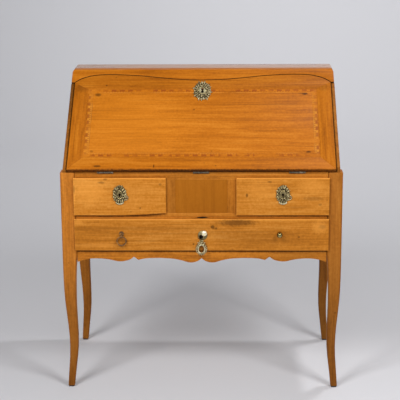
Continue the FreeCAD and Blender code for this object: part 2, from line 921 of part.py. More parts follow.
def turned_knob(radius, projection, flange, flange_thickness, neck):
    ball = projection - radius
    start = math.acos(neck / radius)
    turns = [start - start * 2 * step / knob_bands for step in range(knob_bands + 1)]
    head = [(radius * math.cos(turn), ball - radius * math.sin(turn)) for turn in turns]
    tip = (neck * knob_tip_share, projection)
    return turned([(flange, 0), (flange, flange_thickness)] + head + [tip])


def pull_knob():
    knob = turned_knob(knob_radius, knob_projection, knob_flange_radius, knob_flange_thickness,
                       knob_neck_radius)
    return on_drawer(knob, knob_reach, pull_height())


def ring_pivot():
    return pull_height() - ring_hang


def ring_post():
    base = turned([(post_base_radius, 0), (post_base_radius, post_base_thickness)])
    base.translate(FreeCAD.Vector(0, ring_hang, 0))
    stem = Part.makeCylinder(ring_post_radius, ring_stand)
    side_turn = FreeCAD.Vector(1, 0, 0)
    head_start = FreeCAD.Vector(-ring_head_width / 2, 0, ring_stand)
    head = Part.makeCylinder(ring_head_radius, ring_head_width, head_start, side_turn)
    hole_start = FreeCAD.Vector(-ring_head_width, 0, ring_stand)
    hole = Part.makeCylinder(ring_wire_radius + ring_eye_gap, ring_head_width * 2, hole_start, side_turn)
    return on_drawer(base.fuse([stem, head]).cut(hole), -ring_reach, ring_pivot())


def ring_pull():
    section = round_points(ring_wire_radius, ring_wire_sides, 0)
    rings = [round_points(ring_radius + point.x, round_sides, point.y) for point in section]
    faces = []
    for low, high in zip(rings, rings[1:] + rings[:1]):
        faces += ring_faces(low, high)
    ring = Part.makeSolid(Part.makeShell(faces))
    ring.translate(FreeCAD.Vector(0, -ring_radius, ring_stand))
    return on_drawer(ring, -ring_reach, ring_pivot())


def lock_rosette():
    turns = [math.pi / 2 * step / rosette_bands for step in range(rosette_bands)]
    rise = rosette_height
    dome = [(rosette_radius * math.cos(turn), rosette_edge + rise * math.sin(turn)) for turn in turns]
    tip = (rosette_radius * rosette_tip_share, rosette_edge + rise)
    keyhole = drawer_keyhole(-rosette_key_shift, long_key_height(), rosette_edge + rosette_height)
    boss = turned([(rosette_radius, 0)] + dome + [tip])
    return on_drawer(boss, rosette_shift, rosette_level()).cut(keyhole)


def drop_pivot():
    return rosette_level() - drop_hang


def drop_bar(start, length, radius):
    return Part.makeCylinder(radius, length, FreeCAD.Vector(start, 0, drop_stand), FreeCAD.Vector(1, 0, 0))


def drop_staple():
    half = drop_barrel_length / 2 + knuckle_gap + drop_ear_thickness
    edge = drop_plate_height / 2
    plate = flat_box((-half, -edge, 0), (half, edge, drop_plate_thickness))
    ears = []
    for side in (-1, 1):
        edges = sorted((side * half, side * (half - drop_ear_thickness)))
        web = flat_box((edges[0], -drop_barrel_radius, 0), (edges[1], drop_barrel_radius, drop_stand))
        ears.append(web.fuse(drop_bar(edges[0], drop_ear_thickness, drop_barrel_radius)))
    pin = drop_bar(-half, half * 2, drop_pin_radius)
    return on_drawer(plate.fuse(ears + [pin]).removeSplitter(), 0, drop_pivot())


def drop_loop_middle():
    return -drop_barrel_radius - drop_neck - drop_height / 2


def drop_pull():
    half = drop_barrel_length / 2
    eye = drop_bar(-half, drop_barrel_length, drop_barrel_radius)
    outline = scalloped_wire(drop_width, drop_height, drop_lobes)
    room = scalloped_wire(drop_width - drop_wall * 2, drop_height - drop_wall * 2, drop_lobes)
    loop = open_plate(outline, room, drop_thickness)
    low = drop_stand - drop_thickness / 2
    loop.translate(FreeCAD.Vector(0, drop_loop_middle(), low))
    neck_low = drop_loop_middle() + drop_height / 2 - drop_wall / 2
    neck = flat_box((-half, neck_low, low), (half, 0, low + drop_thickness))
    hole = drop_bar(-drop_width / 2, drop_width, drop_pin_radius + hinge_pin_gap)
    return on_drawer(eye.fuse([neck, loop]).cut(hole), 0, drop_pivot())


# Pigeonhole fitment
def gradin_front():
    return slope_point(gradin_height / slope_sine, 0)[0] + gradin_fall_gap


def shelf_low():
    return writing_height + small_drawer_height + small_drawer_gap * 2


def gradin_uprights():
    wall = gradin_thickness
    inner = gradin_bay_width / 2
    outer = gradin_half - wall
    high = gradin_top - wall
    lows = [(-x - wall, gradin_front(), writing_height) for x in (inner, outer)]
    lefts = [box(low, (low[0] + wall, back_front, high)) for low in lows]
    return lefts + [mirror_x(upright) for upright in lefts]


def gradin_shelves():
    wall = gradin_thickness
    outer = gradin_half - wall
    inner = gradin_bay_width / 2 + wall
    shelf = box((-outer, gradin_front(), shelf_low()), (-inner, back_front, shelf_low() + wall))
    top = box((-gradin_half, gradin_front(), gradin_top - wall), (gradin_half, back_front, gradin_top))
    return both_sides(shelf) + [top]


def left_small_drawer():
    left = small_drawer_gap + gradin_thickness - gradin_half
    right = -gradin_bay_width / 2 - gradin_thickness - small_drawer_gap
    low = writing_height + small_drawer_gap
    high = low + small_drawer_height
    near_y = gradin_front()
    inside = near_y + small_front_thickness
    rear = back_front - small_back_gap
    head = high - small_bottom
    front = box((left, near_y, low), (right, inside, high))
    bottom = box((left + small_wall, inside, low), (right - small_wall, rear, low + small_bottom))
    sides = [box((x, inside, low), (x + small_wall, rear, head)) for x in (left, right - small_wall)]
    back = box((left + small_wall, rear - small_wall, low + small_bottom), (right - small_wall, rear, head))
    knob = turned_knob(small_knob_radius, small_knob_projection, small_knob_radius, knob_flange_thickness,
                       small_knob_neck_radius)
    knob = on_drawer(knob, (left + right) / 2, (low + high) / 2)
    knob.translate(FreeCAD.Vector(0, near_y - lip_front, 0))
    return {"front": [front], "tray": sides + [back, bottom], "knob": [knob]}


os.makedirs("parts", exist_ok=True)

left_leg = front_left_leg()
rear_leg = to_rear(left_leg)
write("front_leg_left", [left_leg])
write("front_leg_right", [mirror_x(left_leg)])
write("rear_leg_left", [rear_leg])
write("rear_leg_right", [mirror_x(rear_leg)])
left_pad = front_left_pad()
write("foot_pads", both_sides(left_pad) + both_sides(to_rear(left_pad)))

left_side = left_side_panel()
write("side_panel_left", [left_side])
write("side_panel_right", [mirror_x(left_side)])
write("top_board", [top_board()])
write("frieze_rail", [frieze_rail()])
write("back_boards", back_boards())
write("top_rail", [top_rail()])
write("middle_rail", [middle_rail()])
write("apron_rail", [apron_rail()])
write("drawer_stiles", both_sides(left_stile()))
write("centre_panel", [centre_panel()])
write("writing_bed", [writing_bed()])
write("drawer_partitions", both_sides(left_partition()))
write("short_drawer_runners", [solid for runner in left_short_runners() for solid in both_sides(runner)])
write("long_drawer_runners", [solid for runner in left_long_runners() for solid in both_sides(runner)])
write("gradin_uprights", gradin_uprights())
write("gradin_shelves", gradin_shelves())

write("hinge_leaves_bed", [bed_leaf(x) for x in hinge_places()])
write("hinge_leaves_fall", [fall_leaf(x) for x in hinge_places()])
write("hinge_pins", [hinge_pin(x) for x in hinge_places()])

write("fall_panel", [on_slope(fall_field())])
write("fall_border", fall_borders())
write("fall_inlay", [on_slope(strip) for strip in inlay_strips()])
write("fall_escutcheon", [fall_escutcheon()])
write("fall_lock", [on_slope(fall_lock())])
write("fall_bolt", [on_slope(fall_bolt_body(0))])

short_key_z = drawer_plate_height_at()
short_key_x = short_middle()
drawers = {
    "left_drawer": (-inner_post, -bay_half, short_low, short_top, -short_key_x, short_key_z, left_lip_wear),
    "right_drawer": (bay_half, inner_post, short_low, short_top, short_key_x, short_key_z, 0),
    "long_drawer": (-inner_post, inner_post, long_low, long_top, -rosette_key_shift, long_key_height(), 0),
}
for drawer, opening in drawers.items():
    for piece, shapes in drawer_pieces(*opening).items():
        write(drawer + "_" + piece, shapes)
write("left_drawer_escutcheon", [drawer_escutcheon(-short_middle())])
write("right_drawer_escutcheon", [drawer_escutcheon(short_middle())])

write("pull_knob", [pull_knob()])
write("ring_post", [ring_post()])
write("ring_pull", [ring_pull()])
write("lock_rosette", [lock_rosette()])
write("drop_staple", [drop_staple()])
write("drop_pull", [drop_pull()])

for piece, shapes in left_small_drawer().items():
    write("small_drawer_left_" + piece, shapes)
    write("small_drawer_right_" + piece, [mirror_x(shape) for shape in shapes])
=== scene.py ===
import json
import math

import bpy
from mathutils import Matrix, Vector


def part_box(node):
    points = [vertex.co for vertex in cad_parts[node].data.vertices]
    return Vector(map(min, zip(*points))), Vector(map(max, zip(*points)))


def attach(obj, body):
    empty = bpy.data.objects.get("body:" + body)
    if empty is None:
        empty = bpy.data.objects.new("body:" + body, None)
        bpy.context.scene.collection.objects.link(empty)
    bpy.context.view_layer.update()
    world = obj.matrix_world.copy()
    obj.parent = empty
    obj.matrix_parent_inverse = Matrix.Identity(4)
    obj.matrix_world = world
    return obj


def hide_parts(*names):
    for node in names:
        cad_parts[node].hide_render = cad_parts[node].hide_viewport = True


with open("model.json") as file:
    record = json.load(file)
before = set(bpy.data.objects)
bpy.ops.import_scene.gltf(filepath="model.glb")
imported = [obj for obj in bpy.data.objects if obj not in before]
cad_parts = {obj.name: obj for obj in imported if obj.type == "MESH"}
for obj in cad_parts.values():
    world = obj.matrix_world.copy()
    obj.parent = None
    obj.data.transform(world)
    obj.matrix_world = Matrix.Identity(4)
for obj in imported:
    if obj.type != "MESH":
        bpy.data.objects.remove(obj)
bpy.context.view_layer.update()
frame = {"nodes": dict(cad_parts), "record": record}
nodes = frame["nodes"]
record = frame["record"]
bodyOf = {node: body for body, members in record["behaviour"]["bodies"].items() for node in members}
scene = bpy.context.scene
scene.view_settings.view_transform = "Standard"
mm = 0.001
print("frame loaded with", len(nodes), "nodes")

# the fall lies on a slope: x across, y up the slope, z out of it
fallPlane = {"angle": math.radians(36.538), "hinge": Vector((0, -0.21535, 0.72)), "thick": 0.016}
slopeTurn = Matrix.Rotation(fallPlane["angle"], 4, "X")
onSlope = Matrix.Translation(fallPlane["hinge"]) @ slopeTurn @ Matrix.Translation((0, 0, fallPlane["thick"]))
drawerFace = -223.15
towardsFront = Matrix.Rotation(math.pi / 2, 4, "X")


def at(x, y, z=0):
    return Matrix.Translation((x * mm, y * mm, z * mm))


def onDrawer(x, z):
    # x across, y up, z out of the drawer front
    return at(x, drawerFace, z) @ towardsFront


def middleOf(node):
    low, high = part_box(node)
    return (low + high) / 2 / mm


def overNode(node):
    place = middleOf(node)
    return onDrawer(place.x, place.z)


# hand tools: selecting, edit mode and finishing
def clearSelection():
    if bpy.context.object and bpy.context.object.mode != "OBJECT":
        bpy.ops.object.mode_set(mode="OBJECT")
    bpy.ops.object.select_all(action="DESELECT")


def activate(piece):
    clearSelection()
    piece.select_set(True)
    bpy.context.view_layer.objects.active = piece


def edit(piece, mode="FACE"):
    activate(piece)
    bpy.ops.object.mode_set(mode="EDIT")
    bpy.ops.mesh.select_mode(type=mode)
    bpy.ops.mesh.select_all(action="SELECT")


def pick(piece, mode, test):
    # leaves the piece in edit mode with the faces or points that pass the test selected
    edit(piece, mode)
    bpy.ops.mesh.select_all(action="DESELECT")
    bpy.ops.object.mode_set(mode="OBJECT")
    for item in piece.data.polygons if mode == "FACE" else piece.data.vertices:
        item.select = test(item)
    bpy.ops.object.mode_set(mode="EDIT")


weld = 0.005 * mm    # points nearer than this are one


def closeEdit():
    bpy.ops.mesh.select_all(action="SELECT")
    bpy.ops.mesh.remove_doubles(threshold=weld)
    bpy.ops.mesh.normals_make_consistent(inside=False)
    bpy.ops.object.mode_set(mode="OBJECT")


def addModifier(piece, kind, **values):
    activate(piece)
    modifier = piece.modifiers.new(kind.title(), kind)
    for key, value in values.items():
        setattr(modifier, key, value)
    bpy.ops.object.modifier_apply(modifier=modifier.name)


def joinAll(name, pieces):
    activate(pieces[0])
    for piece in pieces:
        piece.select_set(True)
    bpy.ops.object.join()
    pieces[0].name = name
    return pieces[0]


def copyOf(piece, name):
    clone = bpy.data.objects.new(name, piece.data.copy())
    scene.collection.objects.link(clone)
    return clone


def settle(piece, matrix):
    # the place goes into the mesh and the object stays at the origin
    activate(piece)
    piece.matrix_world = matrix @ piece.matrix_world
    bpy.ops.object.transform_apply(location=True, rotation=True, scale=True)


def oval(piece, tall, flat=1):
    edit(piece)
    bpy.ops.transform.resize(value=(1, tall, flat), center_override=(0, 0, 0))
    closeEdit()


def dress(piece, material, smooth=35):
    activate(piece)
    bpy.ops.object.shade_smooth_by_angle(angle=math.radians(smooth))
    piece.data.materials.clear()
    piece.data.materials.append(material)


def mount(piece, node):
    # takes the place of its CAD node, on the same body
    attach(piece, bodyOf[node])
    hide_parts(node)


# shader tools
def addNode(tree, kind, **values):
    node = tree.nodes.new(kind)
    for key, value in values.items():
        setattr(node, key, value)
    return node


def feed(tree, socket, value):
    if isinstance(value, bpy.types.NodeSocket):
        tree.links.new(value, socket)
    else:
        socket.default_value = value


def fill(node, values):
    for key, value in values.items():
        node.inputs[key].default_value = value


def calc(tree, operation, first, second=None):
    node = addNode(tree, "ShaderNodeMath", operation=operation)
    feed(tree, node.inputs[0], first)
    if second is not None:
        feed(tree, node.inputs[1], second)
    return node.outputs[0]


def times(tree, first, second):
    return calc(tree, "MULTIPLY", first, second)


def blend(tree, amount, first, second):
    node = addNode(tree, "ShaderNodeMix", data_type="RGBA")
    feed(tree, node.inputs[0], amount)
    feed(tree, node.inputs[6], first)
    feed(tree, node.inputs[7], second)
    return node.outputs[2]


def remap(tree, value, low, high, toLow=0.0, toHigh=1.0):
    node = addNode(tree, "ShaderNodeMapRange", interpolation_type="SMOOTHSTEP")
    feed(tree, node.inputs["Value"], value)
    fill(node, {"From Min": low, "From Max": high, "To Min": toLow, "To Max": toHigh})
    return node.outputs["Result"]


def vectorMath(tree, operation, *values):
    node = addNode(tree, "ShaderNodeVectorMath", operation=operation)
    for socket, value in zip(node.inputs, values):
        feed(tree, socket, value)
    return node.outputs


def parts(tree, vector):
    node = addNode(tree, "ShaderNodeSeparateXYZ")
    feed(tree, node.inputs[0], vector)
    return node.outputs


def noise(tree, vector, scale, detail=3.0, rough=0.55, bend=0.0):
    node = addNode(tree, "ShaderNodeTexNoise")
    feed(tree, node.inputs["Vector"], vector)
    fill(node, {"Scale": scale, "Detail": detail, "Roughness": rough, "Distortion": bend})
    return node.outputs["Fac"]


def ramp(tree, value, stops):
    node = addNode(tree, "ShaderNodeValToRGB")
    feed(tree, node.inputs[0], value)
    elements = node.color_ramp.elements
    while len(elements) < len(stops):
        elements.new(0.5)
    for element, (place, colour) in zip(elements, stops):
        element.position = place
        element.color = (*colour, 1)
    return node.outputs[0]


def newGroup(name, inputs, outputs):
    # inputs are names with their kinds, outputs are all values
    tree = bpy.data.node_groups.new(name, "ShaderNodeTree")
    for label, kind in inputs.items():
        tree.interface.new_socket(label, in_out="INPUT", socket_type="NodeSocket" + kind)
    for label in outputs:
        tree.interface.new_socket(label, in_out="OUTPUT", socket_type="NodeSocketFloat")
    return tree, tree.nodes.new("NodeGroupInput").outputs, tree.nodes.new("NodeGroupOutput").inputs


def useGroup(tree, group, **values):
    node = addNode(tree, "ShaderNodeGroup", node_tree=group)
    for key, value in values.items():
        feed(tree, node.inputs[key], value)
    return node.outputs


def patches(tree, vector, shape):
    # where in the wood an effect shows: scale, detail and roughness of a noise, and its limits
    return remap(tree, noise(tree, vector, *shape["noise"]), *shape["limits"])


# grain runs along x: stretch of the noise, its detail, roughness and bend, and its weight in the tone
grainLayers = {
    "streak": ((1.8, 62, 62), 5, 0.6, 0.25, 0.15),
    "broad": ((2.2, 7, 7), 3, 0.5, 0.3, 0.28),
    "fibre": ((6, 260, 260), 3, 0.6, 0.15, 0.19),
    "cloud": ((12, 105, 105), 4, 0.66, 0.5, 0.2),
    "speck": ((120, 120, 120), 3, 0.6, 0.0, 0.15),
    "vein": ((1.3, 95, 95), 2, 0.5, 0.1, 0.0),
}
growthBands = {"Scale": 9, "Distortion": 4, "Detail": 3, "Detail Scale": 0.8}
growthStretch, growthWeight = (0.3, 1, 1), 0.03
veinRange = (0.66, 0.74)


def buildGrain():
    tree, given, out = newGroup("woodGrain", {"Vector": "Vector"}, ("Tone", "Fibre", "Broad", "Vein"))
    wave = addNode(tree, "ShaderNodeTexWave", bands_direction="Y")
    feed(tree, wave.inputs["Vector"], vectorMath(tree, "MULTIPLY", given["Vector"], growthStretch)[0])
    fill(wave, growthBands)
    tone = times(tree, wave.outputs["Fac"], growthWeight)
    layers = {}
    for name, (stretch, detail, rough, bend, weight) in grainLayers.items():
        place = vectorMath(tree, "MULTIPLY", given["Vector"], stretch)[0]
        layers[name] = noise(tree, place, 1.0, detail, rough, bend)
        if weight:
            tone = calc(tree, "ADD", tone, times(tree, layers[name], weight))
    feed(tree, out["Tone"], tone)
    feed(tree, out["Fibre"], layers["fibre"])
    feed(tree, out["Broad"], layers["broad"])
    feed(tree, out["Vein"], remap(tree, layers["vein"], *veinRange))
    return tree


# arrises that hands and dusters have rubbed
wearShape = {"edge": (0.995, 0.9), "noise": (38, 4, 0.65), "limits": (0.34, 0.56)}


def buildWear():
    tree, given, out = newGroup("edgeWear", {"Vector": "Vector", "Radius": "Float"}, ("Mask",))
    soft = addNode(tree, "ShaderNodeBevel", samples=4)
    feed(tree, soft.inputs["Radius"], given["Radius"])
    facing = addNode(tree, "ShaderNodeNewGeometry").outputs["Normal"]
    dot = vectorMath(tree, "DOT_PRODUCT", soft.outputs["Normal"], facing)["Value"]
    edge = remap(tree, dot, *wearShape["edge"])
    feed(tree, out["Mask"], times(tree, edge, patches(tree, given["Vector"], wearShape)))
    return tree


# old wax and dirt in the corners, with painted shade: ambient occlusion darkens every corner and recess
dirtAndShadeShape = {"corner": (0.85, 0.35), "noise": (60, 3, 0.55), "limits": (0.3, 0.6)}


def buildDirtAndShade():
    tree, given, out = newGroup("cornerDirtAndShade", {"Vector": "Vector", "Reach": "Float"}, ("Mask",))
    cover = addNode(tree, "ShaderNodeAmbientOcclusion", samples=6)
    feed(tree, cover.inputs["Distance"], given["Reach"])
    close = remap(tree, cover.outputs["AO"], *dirtAndShadeShape["corner"])
    feed(tree, out["Mask"], times(tree, close, patches(tree, given["Vector"], dirtAndShadeShape)))
    return tree


# worm holes and small bruises, in some places only
bruiseShape = {"scale": 42, "dot": (0.17, 0.08), "noise": (9, 2, 0.55), "limits": (0.58, 0.66)}


def buildBruise():
    tree, given, out = newGroup("bruises", {"Vector": "Vector"}, ("Mask",))
    cells = addNode(tree, "ShaderNodeTexVoronoi")
    feed(tree, cells.inputs["Vector"], given["Vector"])
    feed(tree, cells.inputs["Scale"], bruiseShape["scale"])
    dot = remap(tree, cells.outputs["Distance"], *bruiseShape["dot"])
    feed(tree, out["Mask"], times(tree, dot, patches(tree, given["Vector"], bruiseShape)))
    return tree


# one mark: an ellipsoid with a torn edge
markShape = {"noise": (160, 3, 0.6), "tear": 0.9, "edge": (1.45, 0.75)}


def buildStain():
    tree, given, out = newGroup("stain", {"Vector": "Vector", "Place": "Vector", "Size": "Vector"}, ("Mask",))
    away = vectorMath(tree, "SUBTRACT", given["Vector"], given["Place"])[0]
    share = vectorMath(tree, "DIVIDE", away, given["Size"])[0]
    reach = vectorMath(tree, "LENGTH", share)["Value"]
    torn = times(tree, noise(tree, given["Vector"], *markShape["noise"]), markShape["tear"])
    feed(tree, out["Mask"], remap(tree, calc(tree, "ADD", reach, torn), *markShape["edge"]))
    return tree


# dust lies where a face looks up; on the top board the pale veil is also a painted reflection of the backdrop
dustAndReflectionShape = {"slope": (0.75, 0.98), "noise": (14, 4, 0.6), "limits": (0.3, 0.7, 0.55, 1.0)}


def buildDustAndReflection():
    tree, given, out = newGroup("dustAndReflection", {"Vector": "Vector"}, ("Mask",))
    facing = addNode(tree, "ShaderNodeNewGeometry").outputs["Normal"]
    up = remap(tree, parts(tree, facing)["Z"], *dustAndReflectionShape["slope"])
    feed(tree, out["Mask"], times(tree, up, patches(tree, given["Vector"], dustAndReflectionShape)))
    return tree


grainGroup = buildGrain()
wearGroup = buildWear()
dirtAndShadeGroup = buildDirtAndShade()
bruiseGroup = buildBruise()
stainGroup = buildStain()
dustAndReflectionGroup = buildDustAndReflection()


def startMaterial(name, turn=(0, 0, 0), shift=(0, 0, 0)):
    material = bpy.data.materials.new(name)
    material.use_nodes = True
    tree = material.node_tree
    shader = tree.nodes["Principled BSDF"]
    place = addNode(tree, "ShaderNodeTexCoord").outputs["Object"]
    mapping = addNode(tree, "ShaderNodeMapping")
    feed(tree, mapping.inputs["Vector"], place)
    fill(mapping, {"Rotation": turn, "Location": shift})
    return material, tree, shader, place, mapping.outputs[0]


def addBump(tree, shader, height, strength, reach):
    bump = addNode(tree, "ShaderNodeBump")
    feed(tree, bump.inputs["Height"], height)
    fill(bump, {"Strength": strength, "Distance": reach})
    feed(tree, shader.inputs["Normal"], bump.outputs[0])


def tinted(tone, share):
    return tuple(min(1, c * share) for c in tone) + (1,)


black = (0.006, 0.004, 0.003, 1)
dustAndReflectionTone = (0.42, 0.36, 0.35, 1)
woodFinish = {
    "stops": (0.40, 0.5, 0.60), "dark": 0.22, "light": 1.3, "vein": 0.22, "bruise": 0.7,
    "wearRadius": 2.2 * mm, "dirtAndShadeReach": 9 * mm, "figure": (0.3, 0.7), "roughSpread": (-0.06, 0.08),
    "coatRough": 0.14, "bump": (0.12, 0.4 * mm), "jointAndShadeEdge": (0.2, 0.5),
    "lipUpper": (0.1, 0.45), "lipLeft": (-0.15, -0.5), "feet": (0.62, 0.04), "feetDark": 0.3,
}


def makeWood(name, tones, turn=(0, 0, 0), shift=(0, 0, 0), rough=0.54, gloss=0.11, stains=(), wear=0.35, dirtAndShade=0.6,
             dustAndReflection=0.0, footShade=0.0, lipPaintedHighlight=0.0, jointAndShadeFacing=None, jointAndShadeDepth=0.95, polish=0.0):
    material, tree, shader, place, grainPlace = startMaterial(name, turn, shift)
    grain = useGroup(tree, grainGroup, Vector=grainPlace)
    colour = ramp(tree, grain["Tone"], list(zip(woodFinish["stops"], tones)))
    dark, light = tinted(tones[0], woodFinish["dark"]), tinted(tones[2], woodFinish["light"])
    colour = blend(tree, times(tree, grain["Vein"], woodFinish["vein"]), colour, dark)
    if lipPaintedHighlight:
        # painted highlight: the rounded upper and left edges of a drawer are made paler, as if lit from above left
        facing = parts(tree, addNode(tree, "ShaderNodeTexCoord").outputs["Normal"])
        upper = remap(tree, facing["Z"], *woodFinish["lipUpper"], 0.0, lipPaintedHighlight)
        left = remap(tree, facing["X"], *woodFinish["lipLeft"], 0.0, lipPaintedHighlight / 2)
        colour = blend(tree, calc(tree, "MAXIMUM", upper, left), colour, light)
    if jointAndShadeFacing:
        # the edge that faces a joint is black with old dirt; on the side panels' sloped edges this darkening is
        # painted shade
        facing = addNode(tree, "ShaderNodeTexCoord").outputs["Normal"]
        towards = vectorMath(tree, "DOT_PRODUCT", facing, jointAndShadeFacing)["Value"]
        colour = blend(tree, remap(tree, towards, *woodFinish["jointAndShadeEdge"], 0.0, jointAndShadeDepth), colour, black)
    if footShade:
        # the feet are darker than the knees
        low = remap(tree, parts(tree, place)["Z"], *woodFinish["feet"], 0.0, footShade)
        colour = blend(tree, low, colour, tinted(tones[0], woodFinish["feetDark"]))
    worn = useGroup(tree, wearGroup, Vector=place, Radius=woodFinish["wearRadius"])["Mask"]
    # dirt and painted shade in corners and recesses
    dirtAndShadeMask = useGroup(tree, dirtAndShadeGroup, Vector=place, Reach=woodFinish["dirtAndShadeReach"])["Mask"]
    spots = useGroup(tree, bruiseGroup, Vector=place)["Mask"]
    for mask, depth, tone in ((worn, wear, light), (dirtAndShadeMask, dirtAndShade, dark), (spots, woodFinish["bruise"], dark)):
        colour = blend(tree, times(tree, mask, depth), colour, tone)
    for spot, size, depth in stains:
        # a mark is pale when its depth is below nought and black when it is one
        values = {"Vector": grainPlace, "Place": [c * mm for c in spot], "Size": [c * mm for c in size]}
        mask = useGroup(tree, stainGroup, **values)["Mask"]
        tone = light if depth < 0 else black if depth == 1 else dark
        colour = blend(tree, times(tree, mask, abs(depth)), colour, tone)
    if dustAndReflection:
        veil = useGroup(tree, dustAndReflectionGroup, Vector=place)["Mask"]
        colour = blend(tree, times(tree, veil, dustAndReflection), colour, dustAndReflectionTone)
    feed(tree, shader.inputs["Base Color"], colour)
    spread = [rough + step for step in woodFinish["roughSpread"]]
    feed(tree, shader.inputs["Roughness"], remap(tree, grain["Broad"], *woodFinish["figure"], *spread))
    fill(shader, {"Specular IOR Level": gloss, "Coat Weight": polish, "Coat Roughness": woodFinish["coatRough"]})
    addBump(tree, shader, grain["Fibre"], *woodFinish["bump"])
    return material


metalFinish = {
    "stops": (0.38, 0.5, 0.62), "dark": 0.12, "light": 1.35, "wear": 0.5, "wearRadius": 0.7 * mm,
    "dirtAndShadeReach": 4 * mm, "mottling": (0.3, 0.7), "roughSpread": (-0.08, 0.12), "pitReach": 105 * mm,
}


def makeMetal(name, tones, rough, metal=1.0, dirtAndShade=0.8, mottle=90, pits=0.25, pitScale=700):
    material, tree, shader, place, _ = startMaterial(name)
    patchy = noise(tree, place, mottle, detail=4, rough=0.6)
    colour = ramp(tree, patchy, list(zip(metalFinish["stops"], tones)))
    # dirt and painted shade in the hollows of the metal
    dirtAndShadeMask = useGroup(tree, dirtAndShadeGroup, Vector=place, Reach=metalFinish["dirtAndShadeReach"])["Mask"]
    colour = blend(tree, times(tree, dirtAndShadeMask, dirtAndShade), colour, tinted(tones[0], metalFinish["dark"]))
    worn = useGroup(tree, wearGroup, Vector=place, Radius=metalFinish["wearRadius"])["Mask"]
    colour = blend(tree, times(tree, worn, metalFinish["wear"]), colour, tinted(tones[2], metalFinish["light"]))
    feed(tree, shader.inputs["Base Color"], colour)
    spread = [rough + step for step in metalFinish["roughSpread"]]
    feed(tree, shader.inputs["Roughness"], remap(tree, patchy, *metalFinish["mottling"], *spread))
    fill(shader, {"Metallic": metal})
    addBump(tree, shader, noise(tree, place, pitScale, detail=2), pits, metalFinish["pitReach"] / pitScale)
    return material


def slopeMapping(acrossGrain):
    # turns the case's coordinates into the fall's own, with the grain along or across the slope
    turn = Matrix.Rotation(-fallPlane["angle"], 4, "X")
    if acrossGrain:
        turn = Matrix.Rotation(math.pi / 2, 4, "Z") @ turn
    return {"turn": turn.to_euler("XYZ"), "shift": -(turn @ fallPlane["hinge"])}


upright = {"turn": (0, math.pi / 2, 0)}      # grain up the piece
inward = {"turn": (0, 0, math.pi / 2)}       # grain from front to back

# dark, middle and light of each wood, as scene-linear colours
woodTones = {
    "case": ((0.27, 0.082, 0.006), (0.46, 0.154, 0.013), (0.60, 0.228, 0.030)),
    "post": ((0.27, 0.086, 0.008), (0.45, 0.152, 0.016), (0.58, 0.220, 0.032)),
    "fall": ((0.30, 0.080, 0.002), (0.46, 0.132, 0.004), (0.58, 0.195, 0.014)),
    "border": ((0.25, 0.066, 0.001), (0.39, 0.112, 0.003), (0.49, 0.162, 0.009)),
    "drawer": ((0.34, 0.108, 0.007), (0.55, 0.190, 0.016), (0.71, 0.290, 0.046)),
    "stile": ((0.24, 0.070, 0.003), (0.38, 0.124, 0.009), (0.49, 0.180, 0.019)),
    "panel": ((0.31, 0.094, 0.003), (0.36, 0.112, 0.004), (0.41, 0.134, 0.007)),
    "top": ((0.21, 0.072, 0.012), (0.36, 0.134, 0.024), (0.47, 0.196, 0.044)),
    "inner": ((0.20, 0.105, 0.045), (0.34, 0.195, 0.090), (0.46, 0.280, 0.140)),
    "back": ((0.20, 0.094, 0.034), (0.34, 0.175, 0.068), (0.46, 0.260, 0.115)),
    "fitment": ((0.24, 0.085, 0.018), (0.38, 0.150, 0.034), (0.50, 0.215, 0.056)),
}

# marks in mm along the wood's grain: place, reach and depth
fieldMarks = [
    ((-340, 318, 16), (14, 10, 6), 0.9), ((334, 321, 16), (13, 9, 6), 0.85),
    ((336, 70, 16), (9, 8, 6), 0.85), ((-346, 74, 16), (8, 7, 6), 0.6), ((322, 324, 16), (20, 6, 6), 0.4),
    ((209, 159, 16), (64, 1.6, 5), 0.55), ((-60, 214, 16), (300, 1.2, 5), 0.25),
    ((150, 108, 16), (200, 1.3, 5), 0.22), ((0, 273, 16), (330, 1.0, 5), 0.3),
    ((40, 204, 16), (300, 1.0, 5), 0.3), ((-80, 136, 16), (260, 1.0, 5), 0.3),
    # a broad pale patch at the lower left is painted light; black in the keyhole is painted shade; the dark halo round
    # the keyhole plate is dirt and painted shadow
    ((-240, 180, 16), (260, 260, 14), -0.28), ((0, 333, 12), (20, 32, 60), 1), ((0, 333, 16), (38, 50, 4), 0.45),
]
lowBorderMarks = [
    # the long dark band on the fall's lower edge face is painted shade
    ((-325, 13, 16), (16, 6, 7), 0.75), ((-148, 13, 16), (3, 9, 7), 0.8), ((0, -1, 6), (1200, 5.0, 17), 0.98),
    ((-394, 160, 16), (5, 9, 6), 0.75), ((383, 159, 16), (4, 8, 6), 0.6),
]
sideBorderMarks = [
    # the dark bands along the fall's outer side edges are painted shade
    ((180, -421, 6), (700, 3.6, 16), 0.95), ((180, 421, 6), (700, 3.6, 16), 0.95),
    ((-352, -396, 16), (30, 30, 9), 0.4), ((-352, 396, 16), (24, 26, 9), 0.3),
]
longDrawerMarks = [
    ((112, -223, 560), (80, 9, 15), 0.62), ((36, -223, 546), (9, 8, 9), 0.7), ((46, -223, 541), (6, 8, 5), 0.6),
    ((380, -223, 546), (16, 8, 10), 0.55), ((307, -223, 513), (5, 6, 3), 0.7),
    ((-160, -223, 500), (240, 6, 3), 0.25), ((-240, -223, 541), (420, 9, 9), 0.2),
    ((-210, -223, 524), (360, 9, 5), 0.16), ((120, -223, 530), (260, 6, 3), 0.22),
    # black in the keyhole is painted shade; the dark mark under the drop pull is dirt and painted shadow
    ((150, -223, 505), (190, 12, 40), 0.14), ((-1, -218, 513), (14, 50, 14), 1), ((1, -223, 482), (22, 8, 30), 0.6),
    ((372, -223, 545), (34, 9, 30), -0.4), ((-330, -223, 486), (120, 8, 10), -0.35),
    # the pale spot at the top-left corner is wear and a painted highlight
    ((-390, -223, 560), (30, 9, 9), -0.4),
]
